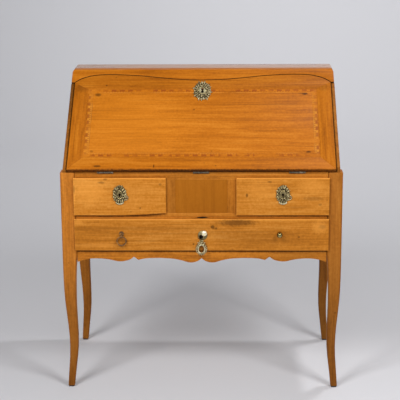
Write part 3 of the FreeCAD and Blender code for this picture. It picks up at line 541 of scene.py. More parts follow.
leftDrawerMarks = [
    # black in the keyhole is painted shade; the dark halo round the plate is dirt and painted shadow
    ((-255.5, -216, 648), (13, 50, 18), 1), ((-256, -223, 651), (30, 5, 38), 0.5),
    # the broad pale patch on the left part is a painted sheen; the pale strip along the left edge is wear and a
    # painted highlight
    ((-350, -223, 665), (70, 9, 60), -0.35), ((-399, -222, 655), (7, 9, 50), -0.6),
    ((-312, -223, 690), (16, 8, 5), 0.5), ((-398, -223, 668), (4, 8, 20), 0.45),
    ((-300, -223, 700), (9, 8, 4), 0.5), ((-128, -223, 684), (7, 8, 6), 0.4),
]
rightDrawerMarks = [
    # black in the keyhole is painted shade; the dark halo round the plate is dirt and painted shadow
    ((255.5, -216, 648), (13, 50, 18), 1), ((256, -223, 651), (30, 5, 38), 0.5),
    ((190, -223, 670), (70, 9, 50), -0.25), ((345, -223, 680), (60, 9, 30), -0.3),
    ((143, -223, 648), (5, 8, 9), 0.65), ((214, -223, 692), (10, 8, 4), 0.55),
    ((372, -223, 618), (8, 8, 6), 0.35), ((350, -223, 638), (52, 6, 9), 0.3), ((300, -223, 610), (60, 6, 4), 0.22),
]
# painted shade on the sloped edges and the upper part of the side panels
sideMarks = [((860, 0, -421), (900, 900, 5), 0.75), ((860, 0, 421), (900, 900, 5), 0.75),
             ((930, 0, 430), (130, 900, 20), 0.6)]
# the long dark band along the apron's top is a painted shadow under the long drawer's lip
apronMarks = [((330, -215, 450), (190, 30, 60), 0.28), ((0, -214, 465), (1200, 30, 6), 0.85)]
# on the middle rail the pale lower half is painted light and the black slot is painted shade; on the top rail the dark
# band is a painted shadow under the fall's lower edge
railMarks = [((-250, -214, 572), (300, 30, 6), -0.4), ((3, -214, 574.5), (26, 14, 4), 1),
             ((0, -216, 717), (1200, 8, 3), 0.4)]
# painted shadow under the short drawers' lips
railMarks += [((x, -214, 584), (95, 30, 9), 0.75) for x in (-370, -285, -200, 200, 285, 370)]

# the left drawer is cut from another stretch of the board, so its marks move along
leftShift = Vector((0.7, 0, 0.31))
leftDrawerMarks = [(Vector(spot) + leftShift / mm, size, depth) for spot, size, depth in leftDrawerMarks]

upSlope, outSlope = (slopeTurn.to_3x3() @ Vector(way) for way in ((0, 1, 0), (0, 0, 1)))
alongSlope, acrossSlope = slopeMapping(False), slopeMapping(True)
# drawer fronts: worn edges, a little dirt and shade, and a painted highlight on the upper and left lips
lipped = {"wear": 0.5, "dirtAndShade": 0.12, "lipPaintedHighlight": 0.75}
hidden = {"rough": 0.65, "gloss": 0.2}
rearward = {"wear": 0.3, "jointAndShadeFacing": (0, 0, 1), **hidden}
inside = {"wear": 0.1, "dustAndReflection": 0.15, **hidden}
fitted = {"rough": 0.5, "wear": 0.2}

# tones of each wood, how pale it is, and what else it needs
woodRows = {
    "rail": ("case", 1, dict(stains=railMarks, dirtAndShade=0.25)),
    "apron": ("case", 1.2, dict(stains=apronMarks, dirtAndShade=0.35)),
    # front legs: a paler lit copy on the left and a darker shaded copy on the right, painted light and shade
    "postLeftLit": ("post", 1.2, dict(upright, footShade=0.62, dirtAndShade=0.3)),
    "postRightShaded": ("post", 0.85, dict(upright, footShade=0.46, dirtAndShade=0.3)),
    # rear legs: a paler lit copy on the left and a darker shaded copy on the right, painted light and shade
    "rearLeftLit": ("post", 1.08, dict(upright, footShade=0.42)),
    "rearRightShaded": ("post", 0.76, dict(upright, footShade=0.5)),
    # the side panels' sloped edges beside the fall are darkened: painted shade
    "side": ("case", 1, dict(upright, stains=sideMarks, jointAndShadeFacing=outSlope, jointAndShadeDepth=0.35)),
    "panel": ("panel", 1, dict(upright, wear=0.1, dirtAndShade=0.3)),
    "stileLeft": ("stile", 0.97, dict(upright, wear=0.1, dirtAndShade=0.3)),
    # the right stile is made paler than the left to undo the drawer's shadow: painted light
    "stileRightLit": ("stile", 1.14, dict(upright, wear=0.1, dirtAndShade=0.2)),
    # the top's pale veil is dust and a painted reflection of the backdrop
    "top": ("top", 1, dict(rough=0.3, gloss=0.35, dustAndReflection=0.2, polish=0.35)),
    "field": ("fall", 1, dict(alongSlope, stains=fieldMarks)),
    "lowRail": ("fall", 1, dict(alongSlope, stains=lowBorderMarks)),
    "highRail": ("border", 1, dict(alongSlope, jointAndShadeFacing=upSlope)),
    "frieze": ("border", 1.1, dict(alongSlope, jointAndShadeFacing=-upSlope)),
    "stileSlope": ("border", 1.1, dict(acrossSlope, stains=sideBorderMarks)),
    "longDrawer": ("drawer", 0.9, dict(lipped, stains=longDrawerMarks)),
    "leftDrawer": ("drawer", 0.97, dict(lipped, stains=leftDrawerMarks, shift=leftShift)),
    "rightDrawer": ("drawer", 0.92, dict(lipped, stains=rightDrawerMarks)),
    "back": ("back", 1, rearward),
    "backPale": ("back", 1.2, dict(rearward, shift=(0.4, 0, 0.3))),
    "innerAcross": ("inner", 1, inside),
    "innerIn": ("inner", 1, dict(inward, **inside)),
    "fitment": ("fitment", 1, fitted),
    "fitmentUp": ("fitment", 1, dict(upright, **fitted)),
}
woods = {}
for name, (wood, share, more) in woodRows.items():
    tones = [tuple(c * share for c in tone) for tone in woodTones[wood]]
    woods[name] = makeWood(name + "Wood", tones, **more)

# dark, middle and light of each metal, its roughness and what else it needs
pitted = {"mottle": 210, "pits": 0.5, "pitScale": 330}
lacquered = {"metal": 0.4, "dirtAndShade": 0.5}
metalRows = {
    "oldBrass": (((0.18, 0.130, 0.050), (0.45, 0.355, 0.160), (0.74, 0.62, 0.34)), 0.36, pitted),
    "tarnish": (((0.06, 0.045, 0.024), (0.15, 0.115, 0.06), (0.28, 0.22, 0.13)), 0.5, {"mottle": 210}),
    "greyBrass": (((0.17, 0.125, 0.058), (0.42, 0.34, 0.175), (0.68, 0.57, 0.35)), 0.42, pitted),
    "midBrass": (((0.32, 0.27, 0.14), (0.50, 0.44, 0.25), (0.70, 0.63, 0.42)), 0.38, lacquered),
    "oliveBrass": (((0.17, 0.13, 0.055), (0.28, 0.22, 0.10), (0.40, 0.33, 0.17)), 0.5, {"pits": 0.1}),
    # near white, so that the lock's button shows a painted highlight
    "paintedHighlightBrass": (((0.84, 0.74, 0.46), (0.95, 0.88, 0.64), (0.99, 0.95, 0.80)), 0.24,
                    {"metal": 0.35, "dirtAndShade": 0.3, "pits": 0.05}),
    "knobBrass": (((0.20, 0.15, 0.05), (0.34, 0.27, 0.10), (0.48, 0.38, 0.17)), 0.1, {"pits": 0.03}),
    "brightBrass": (((0.50, 0.36, 0.12), (0.74, 0.56, 0.24), (0.90, 0.74, 0.40)), 0.2, {"dirtAndShade": 0.4, "pits": 0.08}),
    "darkBronze": (((0.09, 0.034, 0.003), (0.18, 0.072, 0.008), (0.32, 0.135, 0.022)), 0.6,
                   {"metal": 0.0, "dirtAndShade": 0.5}),
    "ironGrey": (((0.05, 0.038, 0.024), (0.12, 0.094, 0.062), (0.24, 0.195, 0.135)), 0.6, {"metal": 0.5}),
    "darkPad": (((0.02, 0.016, 0.012), (0.045, 0.035, 0.028), (0.08, 0.07, 0.06)), 0.6, {"metal": 0.0}),
}
metals = {name: makeMetal(name, tones, rough, **more) for name, (tones, rough, more) in metalRows.items()}

# inlaid band, in the fall's own coordinates: each row has its start and end from the band's outer edge,
# its dashes (length of a dash with its gap, share of the dash) or none, whether it is on the upright sides
# only, its strength and its colour
band = {
    "half": 373, "low": 50, "high": 343.2, "edge": 0.5, "dashEdge": 0.06, "noise": (22, 3, 0.55), "limits": (0.3, 0.6),
    "rows": [
        (0.4, 1.8, None, False, 0.4, (0.15, 0.040, 0.004)),
        (4.0, 15.0, None, True, 0.5, (0.66, 0.27, 0.03)),
        (3.0, 10.5, (27, 0.6), False, 0.72, (0.24, 0.045, 0.005)),
        (11, 14.5, (9, 0.5), False, 0.52, (0.22, 0.045, 0.005)),
        (15.4, 17.0, None, False, 0.6, (0.72, 0.30, 0.05)),
        (16.6, 18.4, None, True, 0.6, (0.12, 0.035, 0.003)),
    ],
    # the keyhole entry paints the inlay black behind the keyhole: painted shade
    "keyhole": {"Place": (0, 0.333, 0.012), "Size": (0.020, 0.032, 0.06)}, "rough": (0.48, 0.62), "gloss": 0.11,
}


def stripe(tree, depth, start, end):
    soft = band["edge"]
    rise = remap(tree, depth, (start - soft) * mm, (start + soft) * mm)
    fall = remap(tree, depth, (end + soft) * mm, (end - soft) * mm)
    return times(tree, rise, fall)


def dashes(tree, run, period, share):
    phase = calc(tree, "FRACT", calc(tree, "DIVIDE", run, period * mm))
    return remap(tree, phase, share + band["dashEdge"], share - band["dashEdge"])


def makeInlay():
    material, tree, shader, _, flat = startMaterial("inlayBand", **alongSlope)
    across, along = parts(tree, flat)[:2]
    side = calc(tree, "SUBTRACT", band["half"] * mm, calc(tree, "ABSOLUTE", across))
    low = calc(tree, "SUBTRACT", along, band["low"] * mm)
    high = calc(tree, "SUBTRACT", band["high"] * mm, along)
    ends = calc(tree, "MINIMUM", low, high)
    depth = calc(tree, "MINIMUM", side, ends)
    onSide = calc(tree, "LESS_THAN", side, ends)
    run = addNode(tree, "ShaderNodeMix", data_type="FLOAT")
    for socket, value in ((0, onSide), (2, across), (3, along)):
        feed(tree, run.inputs[socket], value)
    grain = useGroup(tree, grainGroup, Vector=flat)
    colour = ramp(tree, grain["Tone"], list(zip(woodFinish["stops"], woodTones["fall"])))
    patch = patches(tree, flat, band)
    for start, end, dash, sidesOnly, strength, tone in band["rows"]:
        mask = stripe(tree, depth, start, end)
        if dash:
            mask = times(tree, mask, dashes(tree, run.outputs[0], *dash))
        if sidesOnly:
            mask = times(tree, mask, onSide)
        colour = blend(tree, times(tree, times(tree, mask, strength), patch), colour, (*tone, 1))
    # painted shade: the keyhole opening is made black
    keyhole = useGroup(tree, stainGroup, Vector=flat, **band["keyhole"])["Mask"]
    feed(tree, shader.inputs["Base Color"], blend(tree, keyhole, colour, black))
    feed(tree, shader.inputs["Roughness"], remap(tree, grain["Broad"], *woodFinish["figure"], *band["rough"]))
    fill(shader, {"Specular IOR Level": band["gloss"]})
    addBump(tree, shader, grain["Fibre"], *woodFinish["bump"])
    return material


finishes = {**woods, **metals, "inlay": makeInlay()}
print("finishes made")


# a copy of a CAD node with its arrises rounded; keep picks the faces of one of its boards
rounding = {"segments": 3, "sharp": math.radians(30), "flat": math.radians(0.6), "merge": 0.002 * mm,
            "inside": 0.5 * mm}


def softCopy(node, edge, finish, keep=None):
    piece = copyOf(nodes[node], node + "_worked")
    if keep:
        pick(piece, "FACE", lambda face: not keep(face.center - face.normal * rounding["inside"]))
        bpy.ops.mesh.delete(type="FACE")
    edit(piece)
    bpy.ops.mesh.customdata_custom_splitnormals_clear()
    bpy.ops.mesh.remove_doubles(threshold=rounding["merge"])
    bpy.ops.mesh.dissolve_limited(angle_limit=rounding["flat"])
    bpy.ops.object.mode_set(mode="OBJECT")
    addModifier(piece, "BEVEL", width=edge * mm, segments=rounding["segments"], limit_method="ANGLE",
                angle_limit=rounding["sharp"], use_clamp_overlap=True)
    dress(piece, finish)
    return piece


def boardCopies(node, edge, boards):
    # one node made of several boards, each with its own wood
    pieces = [softCopy(node, edge, wood, keep) for wood, keep in boards]
    mount(joinAll(node + "_worked", pieces), node)


# rounding of the arrises and finish
workedNodes = {
    "front_leg_left": (1.6, "postLeftLit"), "front_leg_right": (1.6, "postRightShaded"),
    "rear_leg_left": (1.6, "rearLeftLit"), "rear_leg_right": (1.6, "rearRightShaded"),
    "side_panel_left": (1.0, "side"), "side_panel_right": (1.0, "side"),
    "top_board": (1.6, "top"), "frieze_rail": (1.1, "frieze"),
    "top_rail": (0.8, "rail"), "middle_rail": (0.8, "rail"), "apron_rail": (1.4, "apron"),
    "centre_panel": (0.6, "panel"),
    "left_drawer_front": (0.8, "leftDrawer"), "right_drawer_front": (0.8, "rightDrawer"),
    "long_drawer_front": (0.8, "longDrawer"), "fall_panel": (0.2, "field"),
    "small_drawer_left_front": (0.8, "fitment"), "small_drawer_right_front": (0.8, "fitment"),
    "foot_pads": (0.8, "darkPad"), "hinge_leaves_bed": (0.15, "ironGrey"),
    "hinge_leaves_fall": (0.15, "ironGrey"), "hinge_pins": (0.15, "ironGrey"),
}
for node, (edge, finish) in workedNodes.items():
    mount(softCopy(node, edge, finishes[finish]), node)
print("case worked")

# two stiles beside the middle panel
boardCopies("drawer_stiles", 0.6, [(woods["stileLeft"], lambda point: point.x < 0),
                                   (woods["stileRightLit"], lambda point: point.x > 0)])

# the fall's border is four mitred boards
border = {
    "half": 420, "inner": 373, "low": 50, "high": 343.2, "corner": 372.2, "edge": 0.9,
    "boards": {"high": "highRail", "low": "lowRail", "left": "stileSlope", "right": "stileSlope"},
}


def borderBoard(point):
    x, y, _ = slopeTurn.inverted() @ (point - fallPlane["hinge"]) / mm
    reach = (abs(x) - border["inner"]) / (border["half"] - border["inner"])
    lowReach = (border["low"] - y) / border["low"]
    highReach = (y - border["high"]) / (border["corner"] - border["high"])
    if reach > max(lowReach, highReach):
        return "left" if x < 0 else "right"
    return "low" if lowReach > highReach else "high"


boardCopies("fall_border", border["edge"], [
    (woods[wood], lambda point, board=board: borderBoard(point) == board) for board, wood in border["boards"].items()])

# back boards, one above the other
backRows = {"edge": 2.5, "joints": (0.58, 0.72), "woods": ("back", "backPale", "back", "backPale")}
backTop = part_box("back_boards")[1].z
backJoints = [0, *backRows["joints"], (backRows["joints"][-1] + backTop) / 2, 1]
boardCopies("back_boards", backRows["edge"], [
    (woods[wood], lambda point, low=low, high=high: low < point.z < high)
    for wood, low, high in zip(backRows["woods"], backJoints, backJoints[1:])])

# inner pieces, locks and the inlaid band keep their CAD shape
plainNodes = {
    "inlay": ["fall_inlay"],
    "fitment": ["writing_bed", "gradin_shelves"],
    "fitmentUp": ["gradin_uprights"],
    "innerIn": ["drawer_partitions", "short_drawer_runners", "long_drawer_runners", "left_drawer_box",
                "right_drawer_box", "long_drawer_box", "small_drawer_left_tray", "small_drawer_right_tray"],
    "innerAcross": ["left_drawer_bottom", "right_drawer_bottom", "long_drawer_bottom"],
    "ironGrey": ["fall_lock", "fall_bolt", "left_drawer_lock", "left_drawer_bolt", "right_drawer_lock",
                 "right_drawer_bolt", "long_drawer_lock", "long_drawer_bolt"],
}
for finish, members in plainNodes.items():
    for node in members:
        nodes[node].data.materials.clear()
        nodes[node].data.materials.append(finishes[finish])
print("fall and inner pieces dressed")


# turned work: a disc raised ring by ring to the profile of (radius, height)
def turnUp(name, profile, sides=40):
    clearSelection()
    radius, level = profile[0]
    bpy.ops.mesh.primitive_circle_add(vertices=sides, radius=radius * mm, fill_type="NGON",
                                      location=(0, 0, level * mm))
    piece = bpy.context.object
    piece.name = name
    bpy.ops.object.transform_apply(location=True)
    edit(piece)
    for nextRadius, nextLevel in profile[1:]:
        bpy.ops.mesh.extrude_region_move(TRANSFORM_OT_translate={"value": (0, 0, (nextLevel - level) * mm)})
        share = nextRadius / radius
        bpy.ops.transform.resize(value=(share, share, 1))
        radius, level = nextRadius, nextLevel
    closeEdit()
    return piece


# a leaf along y, its root at the origin, with a hollow down the middle
leafShape = {"sides": 10, "steps": ((0.55, 0.94), (0.45, 0.66)), "rim": 0.1, "hollow": 0.35, "root": 0.32,
             "rootSize": (0.62, 1, 0.8)}


def leaf(length, width, height):
    clearSelection()
    bpy.ops.mesh.primitive_circle_add(vertices=leafShape["sides"], radius=1, fill_type="NGON")
    piece = bpy.context.object
    edit(piece)
    bpy.ops.transform.resize(value=(width / 2 * mm, length / 2 * mm, 1))
    bpy.ops.transform.translate(value=(0, length / 2 * mm, 0))
    for rise, share in leafShape["steps"]:
        bpy.ops.mesh.extrude_region_move(TRANSFORM_OT_translate={"value": (0, 0, height * rise * mm)})
        bpy.ops.transform.resize(value=(share, share, 1))
    bpy.ops.mesh.inset(thickness=width * leafShape["rim"] * mm, depth=-height * leafShape["hollow"] * mm)
    closeEdit()
    pick(piece, "VERT", lambda vert: vert.co.y < length * leafShape["root"] * mm)
    bpy.ops.transform.resize(value=leafShape["rootSize"])
    closeEdit()
    addModifier(piece, "SUBSURF", levels=1, render_levels=1)
    return piece


# a round bar bent through part of a circle
barShape = {"sides": 8, "stepsPerRadian": 5, "fewest": 6}


def scroll(radius, thick, sweep, height=0.0):
    clearSelection()
    bpy.ops.mesh.primitive_circle_add(vertices=barShape["sides"], radius=thick * mm,
                                      location=(radius * mm, 0, height * mm), rotation=(math.pi / 2, 0, 0))
    piece = bpy.context.object
    bpy.ops.object.transform_apply(location=True, rotation=True)
    edit(piece, "EDGE")
    steps = max(barShape["fewest"], int(sweep * barShape["stepsPerRadian"]))
    bpy.ops.mesh.spin(steps=steps, angle=sweep, center=(0, 0, 0), axis=(0, 0, 1))
    if sweep < math.tau:
        bpy.ops.mesh.select_all(action="SELECT")
        bpy.ops.mesh.fill_holes(sides=0)
    closeEdit()
    return piece


beadShape = {"segments": 12, "rings": 8, "flat": 0.7}


def bead(radius, x, y, height):
    clearSelection()
    bpy.ops.mesh.primitive_uv_sphere_add(segments=beadShape["segments"], ring_count=beadShape["rings"],
                                         radius=radius * mm, location=(0, 0, 0))
    piece = bpy.context.object
    edit(piece)
    bpy.ops.transform.resize(value=(1, 1, beadShape["flat"]))
    bpy.ops.transform.translate(value=(x * mm, y * mm, height * mm))
    closeEdit()
    return piece


def clockwise(turn):
    # a turn from straight up
    return Matrix.Rotation(-turn, 4, "Z")


def cutKeyhole(piece, radius, slot, drop, reach, foot=0):
    # a round hole with a slot below it, cut right through; the foot is a second round hole
    cutters = [turnUp("keyhole", [(radius, -reach), (radius, reach)], sides=24)]
    clearSelection()
    bpy.ops.mesh.primitive_cube_add(size=1)
    bar = bpy.context.object
    edit(bar)
    bpy.ops.transform.resize(value=(slot * mm, drop * mm, reach * 2 * mm))
    bpy.ops.transform.translate(value=(0, -drop / 2 * mm, 0))
    bpy.ops.object.mode_set(mode="OBJECT")
    cutters.append(bar)
    if foot:
        cutters.append(turnUp("keyhole", [(foot, -reach), (foot, reach)], sides=24))
        settle(cutters[-1], at(0, -drop))
    for cutter in cutters:
        addModifier(piece, "BOOLEAN", operation="DIFFERENCE", object=cutter, solver="EXACT")
        bpy.data.objects.remove(cutter)


def squeeze(piece, wide, tall):
    # fits the piece to a width and a height about its origin
    edit(piece)
    xs, ys = [[abs(vert.co[i]) / mm for vert in piece.data.vertices] for i in (0, 1)]
    bpy.ops.transform.resize(value=(wide / 2 / max(xs), tall / 2 / max(ys), 1), center_override=(0, 0, 0))
    bpy.ops.object.mode_set(mode="OBJECT")


def fringe(leaves, root, size, lift, tall, offset=0.0, tilt=0.0, uneven=0.0):
    # a ring of leaves round an oval, some longer than others
    pieces = []
    beat = 2.3
    long, wide, high = size
    for step in range(leaves):
        turn = math.tau * (step + offset) / leaves
        petal = leaf(long * (1 + uneven * math.sin(step * beat)), wide, high)
        across, up = math.sin(turn), math.cos(turn)
        settle(petal, at(across * root, up * root * tall, lift) @ clockwise(math.atan2(across * tall, up) - tilt))
        pieces.append(petal)
    return pieces


def joinDressed(name, layers):
    # each layer has its metal and the angle up to which it is smooth
    for piece, metal, smooth in layers:
        dress(piece, metals[metal], smooth)
    return joinAll(name, [layer[0] for layer in layers])


def beading(count, radius, size, lift, tall):
    pieces = []
    for step in range(count):
        turn = math.tau * step / count
        pieces.append(bead(size, math.sin(turn) * radius, math.cos(turn) * radius * tall, lift))
    return pieces


# keyhole plate of a short drawer: leaves over a dark ground, a beaded oval, a lobe at one side; leaves and
# beads have their number, radius of the ring, size and height, bars their radius, thickness, sweep and height
drawerPlate = {
    "place": 651.1, "wide": 46, "tall": 65, "oval": 1.36, "uneven": 0.16,
    "ground": [(19, 0), (19, 0.9), (18.2, 1.3), (6, 1.3)], "groundShare": (0.9, 0.92),
    "leaves": (17, 13.0, (10.0, 5.4, 2.4), 0.5), "inner": (14, 11.0, (6.0, 4.6, 2.8), 0.9),
    "beads": (15, 13.6, 1.6, 2.4), "rim": (9.4, 1.5, math.tau, 2.6),
    "middle": [(8.0, 1.0), (8.0, 2.0), (7.4, 2.4), (3, 2.4)], "key": (4.2, 3.2, 8.6, 6),
    "lobe": (20.0, -9.5), "lobeBead": 2.4, "lobeLift": 2.0, "curl": (6.2, 1.7, math.radians(290), 2.0),
    "curlTurn": math.radians(-130), "shell": (16, 2.0, math.radians(96), 2.4), "shellTurn": math.radians(42),
    "shellDrop": -14,
}


def drawerEscutcheon():
    shape = drawerPlate
    wideShare, tallShare = shape["groundShare"]
    ground = turnUp("ground", shape["ground"], sides=36)
    squeeze(ground, shape["wide"] * wideShare, shape["tall"] * tallShare)
    petals = []
    for name, offset in (("leaves", 0.0), ("inner", 0.5)):
        petals += fringe(*shape[name], shape["oval"], offset, uneven=shape["uneven"])
    petals += beading(*shape["beads"], shape["oval"])
    relief = joinAll("relief", petals)
    squeeze(relief, shape["wide"], shape["tall"])
    x, y = shape["lobe"]
    curl = scroll(*shape["curl"])
    settle(curl, at(x, y) @ clockwise(shape["curlTurn"]))
    lobe = joinAll("lobe", [curl, bead(shape["lobeBead"], x, y, shape["lobeLift"])])
    shell = scroll(*shape["shell"])
    settle(shell, at(0, shape["shellDrop"]) @ clockwise(shape["shellTurn"]))
    middle = turnUp("middle", shape["middle"], sides=32)
    rim = scroll(*shape["rim"])
    for piece in (middle, rim):
        oval(piece, shape["oval"])
    for piece in (ground, middle):
        cutKeyhole(piece, *shape["key"])
    return joinDressed("drawer_plate", [
        (ground, "tarnish", 50), (relief, "oldBrass", 50), (lobe, "greyBrass", 50), (middle, "oliveBrass", 50),
        (rim, "oldBrass", 60), (shell, "midBrass", 60)])


plateMaster = drawerEscutcheon()
for node in ("left_drawer_escutcheon", "right_drawer_escutcheon"):
    plate = copyOf(plateMaster, node + "_worked")
    settle(plate, onDrawer(middleOf(node).x, drawerPlate["place"]))
    mount(plate, node)
bpy.data.objects.remove(plateMaster)

# keyhole plate of the fall: three rings of leaves over a dark ground, round a pale ring
fallPlate = {
    "place": 334.2, "wide": 66, "tall": 90, "oval": 1.3, "tilt": 0.2, "uneven": 0.22,
    "ground": [(26, 0), (26, 1.0), (25, 1.5), (8, 1.5)], "groundShare": (0.84, 0.86),
    "outer": (21, 18.5, (13.5, 6.4, 2.2), 0.4), "between": (18, 15.0, (10.5, 5.4, 2.6), 0.9),
    "inner": (16, 13.0, (6.5, 4.2, 2.8), 1.4), "beads": (20, 19.0, 1.5, 2.9),
    "disc": [(10.6, 1.2), (10.6, 2.4), (9.8, 2.8), (5, 2.4)], "ring": (13.0, 1.4, math.tau, 2.9), "discOval": 1.22,
    "key": (5.2, 4.8, 12.5, 6, 5.2),
}


def fallEscutcheon():
    shape = fallPlate
    wideShare, tallShare = shape["groundShare"]
    ground = turnUp("ground", shape["ground"], sides=48)
    squeeze(ground, shape["wide"] * wideShare, shape["tall"] * tallShare)
    rings = []
    for name, offset in (("outer", 0.0), ("between", 0.5), ("inner", 0.25)):
        petals = fringe(*shape[name], shape["oval"], offset, shape["tilt"], shape["uneven"])
        rings.append(joinAll(name, petals))
    squeeze(rings[0], shape["wide"], shape["tall"])
    beads = joinAll("beads", beading(*shape["beads"], shape["oval"]))
    disc = turnUp("disc", shape["disc"], sides=48)
    ring = scroll(*shape["ring"])
    for piece in (disc, ring):
        oval(piece, shape["discOval"])
    drop = shape["key"][2]
    for piece in (ground, disc):
        settle(piece, at(0, -drop / 2))
        cutKeyhole(piece, *shape["key"])
        settle(piece, at(0, drop / 2))
    layers = [(ground, "tarnish", 55), (disc, "midBrass", 55), (ring, "oldBrass", 55), (beads, "oldBrass", 55)]
    return joinDressed("fall_escutcheon_worked", layers + [(petals, "greyBrass", 55) for petals in rings])


plate = fallEscutcheon()
settle(plate, onSlope @ at(0, fallPlate["place"]))
mount(plate, "fall_escutcheon")
print("keyhole plates made")


# knob of the long drawer
knobProfile = [
    (7, 0), (7, 1.2), (6.2, 2), (3.8, 2.8), (3.4, 4.0), (3.8, 4.8), (5.9, 6.0), (8.0, 8.2), (9.2, 10.9),
    (9.45, 13.1), (8.9, 16.0), (7.4, 18.7), (5.0, 20.8), (2.4, 21.7), (0.8, 21.95),
]
knob = turnUp("pull_knob_worked", knobProfile)
dress(knob, metals["knobBrass"], smooth=60)
settle(knob, overNode("pull_knob"))
mount(knob, "pull_knob")

# boss of the long drawer's lock: a thin plate with a round key opening and a button above it, coloured near white as a
# painted highlight
bossShape = {
    "plate": [(15, 0), (15, 0.8), (14.4, 1.6), (12.8, 1.8), (12.2, 2.4), (4, 2.6)],
    "button": [(8.8, 1.0), (8.8, 2.4), (8.4, 4.0), (7.2, 5.8), (5.2, 7.2), (2.6, 7.9), (0.6, 8.0)],
    "buttonPlace": (4.8, 5.8), "keyPlace": (-5.2, -5.0), "key": (6.8, 3.0, 1.0, 12),
}
boss = turnUp("boss", bossShape["plate"], sides=48)
keyX, keyY = bossShape["keyPlace"]
settle(boss, at(-keyX, -keyY))
cutKeyhole(boss, *bossShape["key"])
settle(boss, at(keyX, keyY))
button = turnUp("button", bossShape["button"])
settle(button, at(*bossShape["buttonPlace"]))
boss = joinDressed("lock_rosette_worked", [(boss, "oliveBrass", 60), (button, "paintedHighlightBrass", 60)])
settle(boss, overNode("lock_rosette"))
mount(boss, "lock_rosette")

# ring of the long drawer, a little stouter than its CAD node
ringShape = {"wire": 2.5, "bulge": 0.4, "stand": 7.0}
ringLow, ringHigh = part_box("ring_pull")
ringReach = (ringHigh.z - ringLow.z) / 2 / mm - ringShape["wire"] + ringShape["bulge"]
ring = scroll(ringReach, ringShape["wire"], math.tau, ringShape["stand"])
dress(ring, metals["darkBronze"], smooth=60)
settle(ring, overNode("ring_pull"))
mount(ring, "ring_pull")
for node, edge, metal in (("ring_post", 0.4, "darkBronze"), ("drop_staple", 0.25, "oldBrass")):
    mount(softCopy(node, edge, metals[metal]), node)

# drop: a pale oval loop in a fringe of leaves, two wings above
dropShape = {
    "pivot": 497.2, "stand": 5.0, "middle": -22.6, "loop": (10.6, 2.1, math.tau), "oval": 1.32, "flat": 0.75,
    "reach": (38, 43), "leaves": (20, 10.6, (7.4, 4.8, 2.4), -1.6),
    "wings": ((62, 15), (88, 12)), "wingSize": (5.0, 2.6), "wingPlace": (0, -7, -0.8),
    "neck": (9.0, 8.5, 2.8), "neckPlace": (0, -9.5, -1.4),
    "barrel": [(2.5, -3.4), (2.6, -3.0), (2.2, -1.2), (2.2, 1.2), (2.6, 3.0), (2.5, 3.4)],
}


def dropPull():
    shape = dropShape
    loop = scroll(*shape["loop"])
    oval(loop, shape["oval"], shape["flat"])
    petals = joinAll("petals", fringe(*shape["leaves"], shape["oval"]))
    squeeze(petals, *shape["reach"])
    for piece in (loop, petals):
        settle(piece, at(0, shape["middle"]))
    extras = []
    for side in (-1, 1):
        for turn, long in shape["wings"]:
            wing = leaf(long, *shape["wingSize"])
            settle(wing, at(*shape["wingPlace"]) @ clockwise(math.radians(turn) * side))
            extras.append(wing)
    barrel = turnUp("barrel", shape["barrel"], sides=20)
    settle(barrel, Matrix.Rotation(math.pi / 2, 4, "Y"))
    neck = leaf(*shape["neck"])
    settle(neck, at(*shape["neckPlace"]))
    petals = joinAll("petals", [petals, barrel, neck] + extras)
    return joinDressed("drop_pull_worked", [(loop, "midBrass", 60), (petals, "greyBrass", 55)])


drop = dropPull()
settle(drop, onDrawer(0, dropShape["pivot"]) @ at(0, 0, dropShape["stand"]))
mount(drop, "drop_pull")

# knobs of the small drawers inside
smallKnob = [
    (5.6, 0), (5.9, 0.8), (5.4, 1.6), (3.0, 2.2), (2.8, 3.4), (3.6, 4.4), (5.2, 6.0), (5.95, 8.2), (5.6, 10.6),
    (4.2, 12.6), (2.2, 13.7), (0.6, 13.95),
]
for side in ("left", "right"):
    node = "small_drawer_" + side + "_knob"
    knob = turnUp(node + "_worked", smallKnob, sides=28)
    dress(knob, metals["brightBrass"], smooth=60)
    place = middleOf(node)
    settle(knob, at(place.x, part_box(node)[1].y / mm, place.z) @ towardsFront)
    mount(knob, node)
print("pulls and knobs made")


# studio: a pale sweep, soft boxes in front, a small lamp overhead and a wash on the backdrop
studio = {
    "floor": (0.70, 0.70, 0.73), "rough": 0.9, "gloss": 0.1, "near": -7.0, "far": 3.4, "half": 8.0,
    "sweep": 1.6, "steps": 24, "wall": 5.0, "air": (0.98, 0.99, 1.0), "airStrength": 0.14,
}


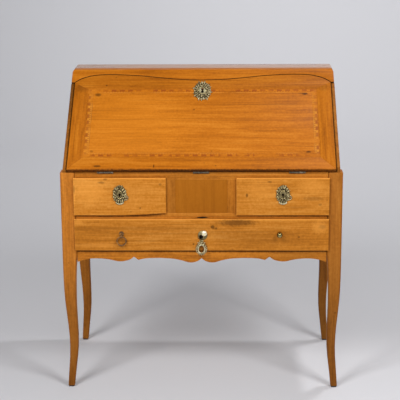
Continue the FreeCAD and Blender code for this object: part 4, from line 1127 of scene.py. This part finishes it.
def buildSweep():
    clearSelection()
    bpy.ops.mesh.primitive_plane_add(size=1)
    sweep = bpy.context.object
    sweep.name = "studioSweep"
    edit(sweep)
    bpy.ops.transform.resize(value=(studio["half"] * 2, studio["far"] - studio["near"], 1))
    bpy.ops.transform.translate(value=(0, (studio["far"] + studio["near"]) / 2, 0))
    bpy.ops.object.mode_set(mode="OBJECT")
    pick(sweep, "VERT", lambda vert: vert.co.y > 0)
    bpy.ops.mesh.select_mode(type="EDGE")
    bpy.ops.mesh.spin(steps=studio["steps"], angle=-math.pi / 2, center=(0, studio["far"], studio["sweep"]),
                      axis=(1, 0, 0))
    bpy.ops.mesh.extrude_region_move(TRANSFORM_OT_translate={"value": (0, 0, studio["wall"])})
    closeEdit()
    paper = bpy.data.materials.new("studioPaper")
    paper.use_nodes = True
    values = {"Base Color": (*studio["floor"], 1), "Roughness": studio["rough"], "Specular IOR Level": studio["gloss"]}
    fill(paper.node_tree.nodes["Principled BSDF"], values)
    dress(sweep, paper, smooth=60)


buildSweep()

lamps = {
    "softLeft": {"place": (-1.5, -2.3, 2.75), "aim": (0, 0, 0.5), "size": (1.0, 1.2), "power": 58},
    "softRight": {"place": (1.78, -2.12, 2.75), "aim": (0, 0, 0.5), "size": (1.0, 1.2), "power": 55},
    "overhead": {"place": (1.06, 0.47, 3.0), "aim": (0, 0, 0.0), "size": (0.24, 0.24), "power": 21},
    "backWash": {"place": (0.9, 2.6, 3.6), "aim": (0.6, 5.2, 1.8), "size": (3.0, 0.6), "power": 78},
    "frontFill": {"place": (0.1, -3.0, 1.7), "aim": (0, 0.2, 0.2), "size": (0.8, 0.5), "power": 13},
}
for name, lamp in lamps.items():
    light = bpy.data.lights.new(name, "AREA")
    light.shape = "RECTANGLE"
    light.size, light.size_y = lamp["size"]
    light.energy = lamp["power"]
    holder = bpy.data.objects.new(name, light)
    scene.collection.objects.link(holder)
    holder.location = lamp["place"]
    aim = Vector(lamp["aim"]) - Vector(lamp["place"])
    holder.rotation_euler = aim.to_track_quat("-Z", "Y").to_euler()

world = bpy.data.worlds.new("studioAir")
world.use_nodes = True
fill(world.node_tree.nodes["Background"], {"Color": (*studio["air"], 1), "Strength": studio["airStrength"]})
scene.world = world

viewPoint = {"place": (0.08904, -4.2004, 1.6788), "yaw": 0.02333, "pitch": 0.2569, "roll": -0.00627,
             "lens": 118.34, "sensor": 36}
camera = bpy.data.cameras.new("viewCamera")
camera.lens = viewPoint["lens"]
camera.sensor_width = viewPoint["sensor"]
cameraHolder = bpy.data.objects.new("viewCamera", camera)
scene.collection.objects.link(cameraHolder)
cameraHolder.matrix_world = (Matrix.Translation(viewPoint["place"]) @ Matrix.Rotation(viewPoint["yaw"], 4, "Z")
                             @ Matrix.Rotation(math.pi / 2 - viewPoint["pitch"], 4, "X")
                             @ Matrix.Rotation(viewPoint["roll"], 4, "Z"))
scene.camera = cameraHolder
print("studio set")

clearSelection()
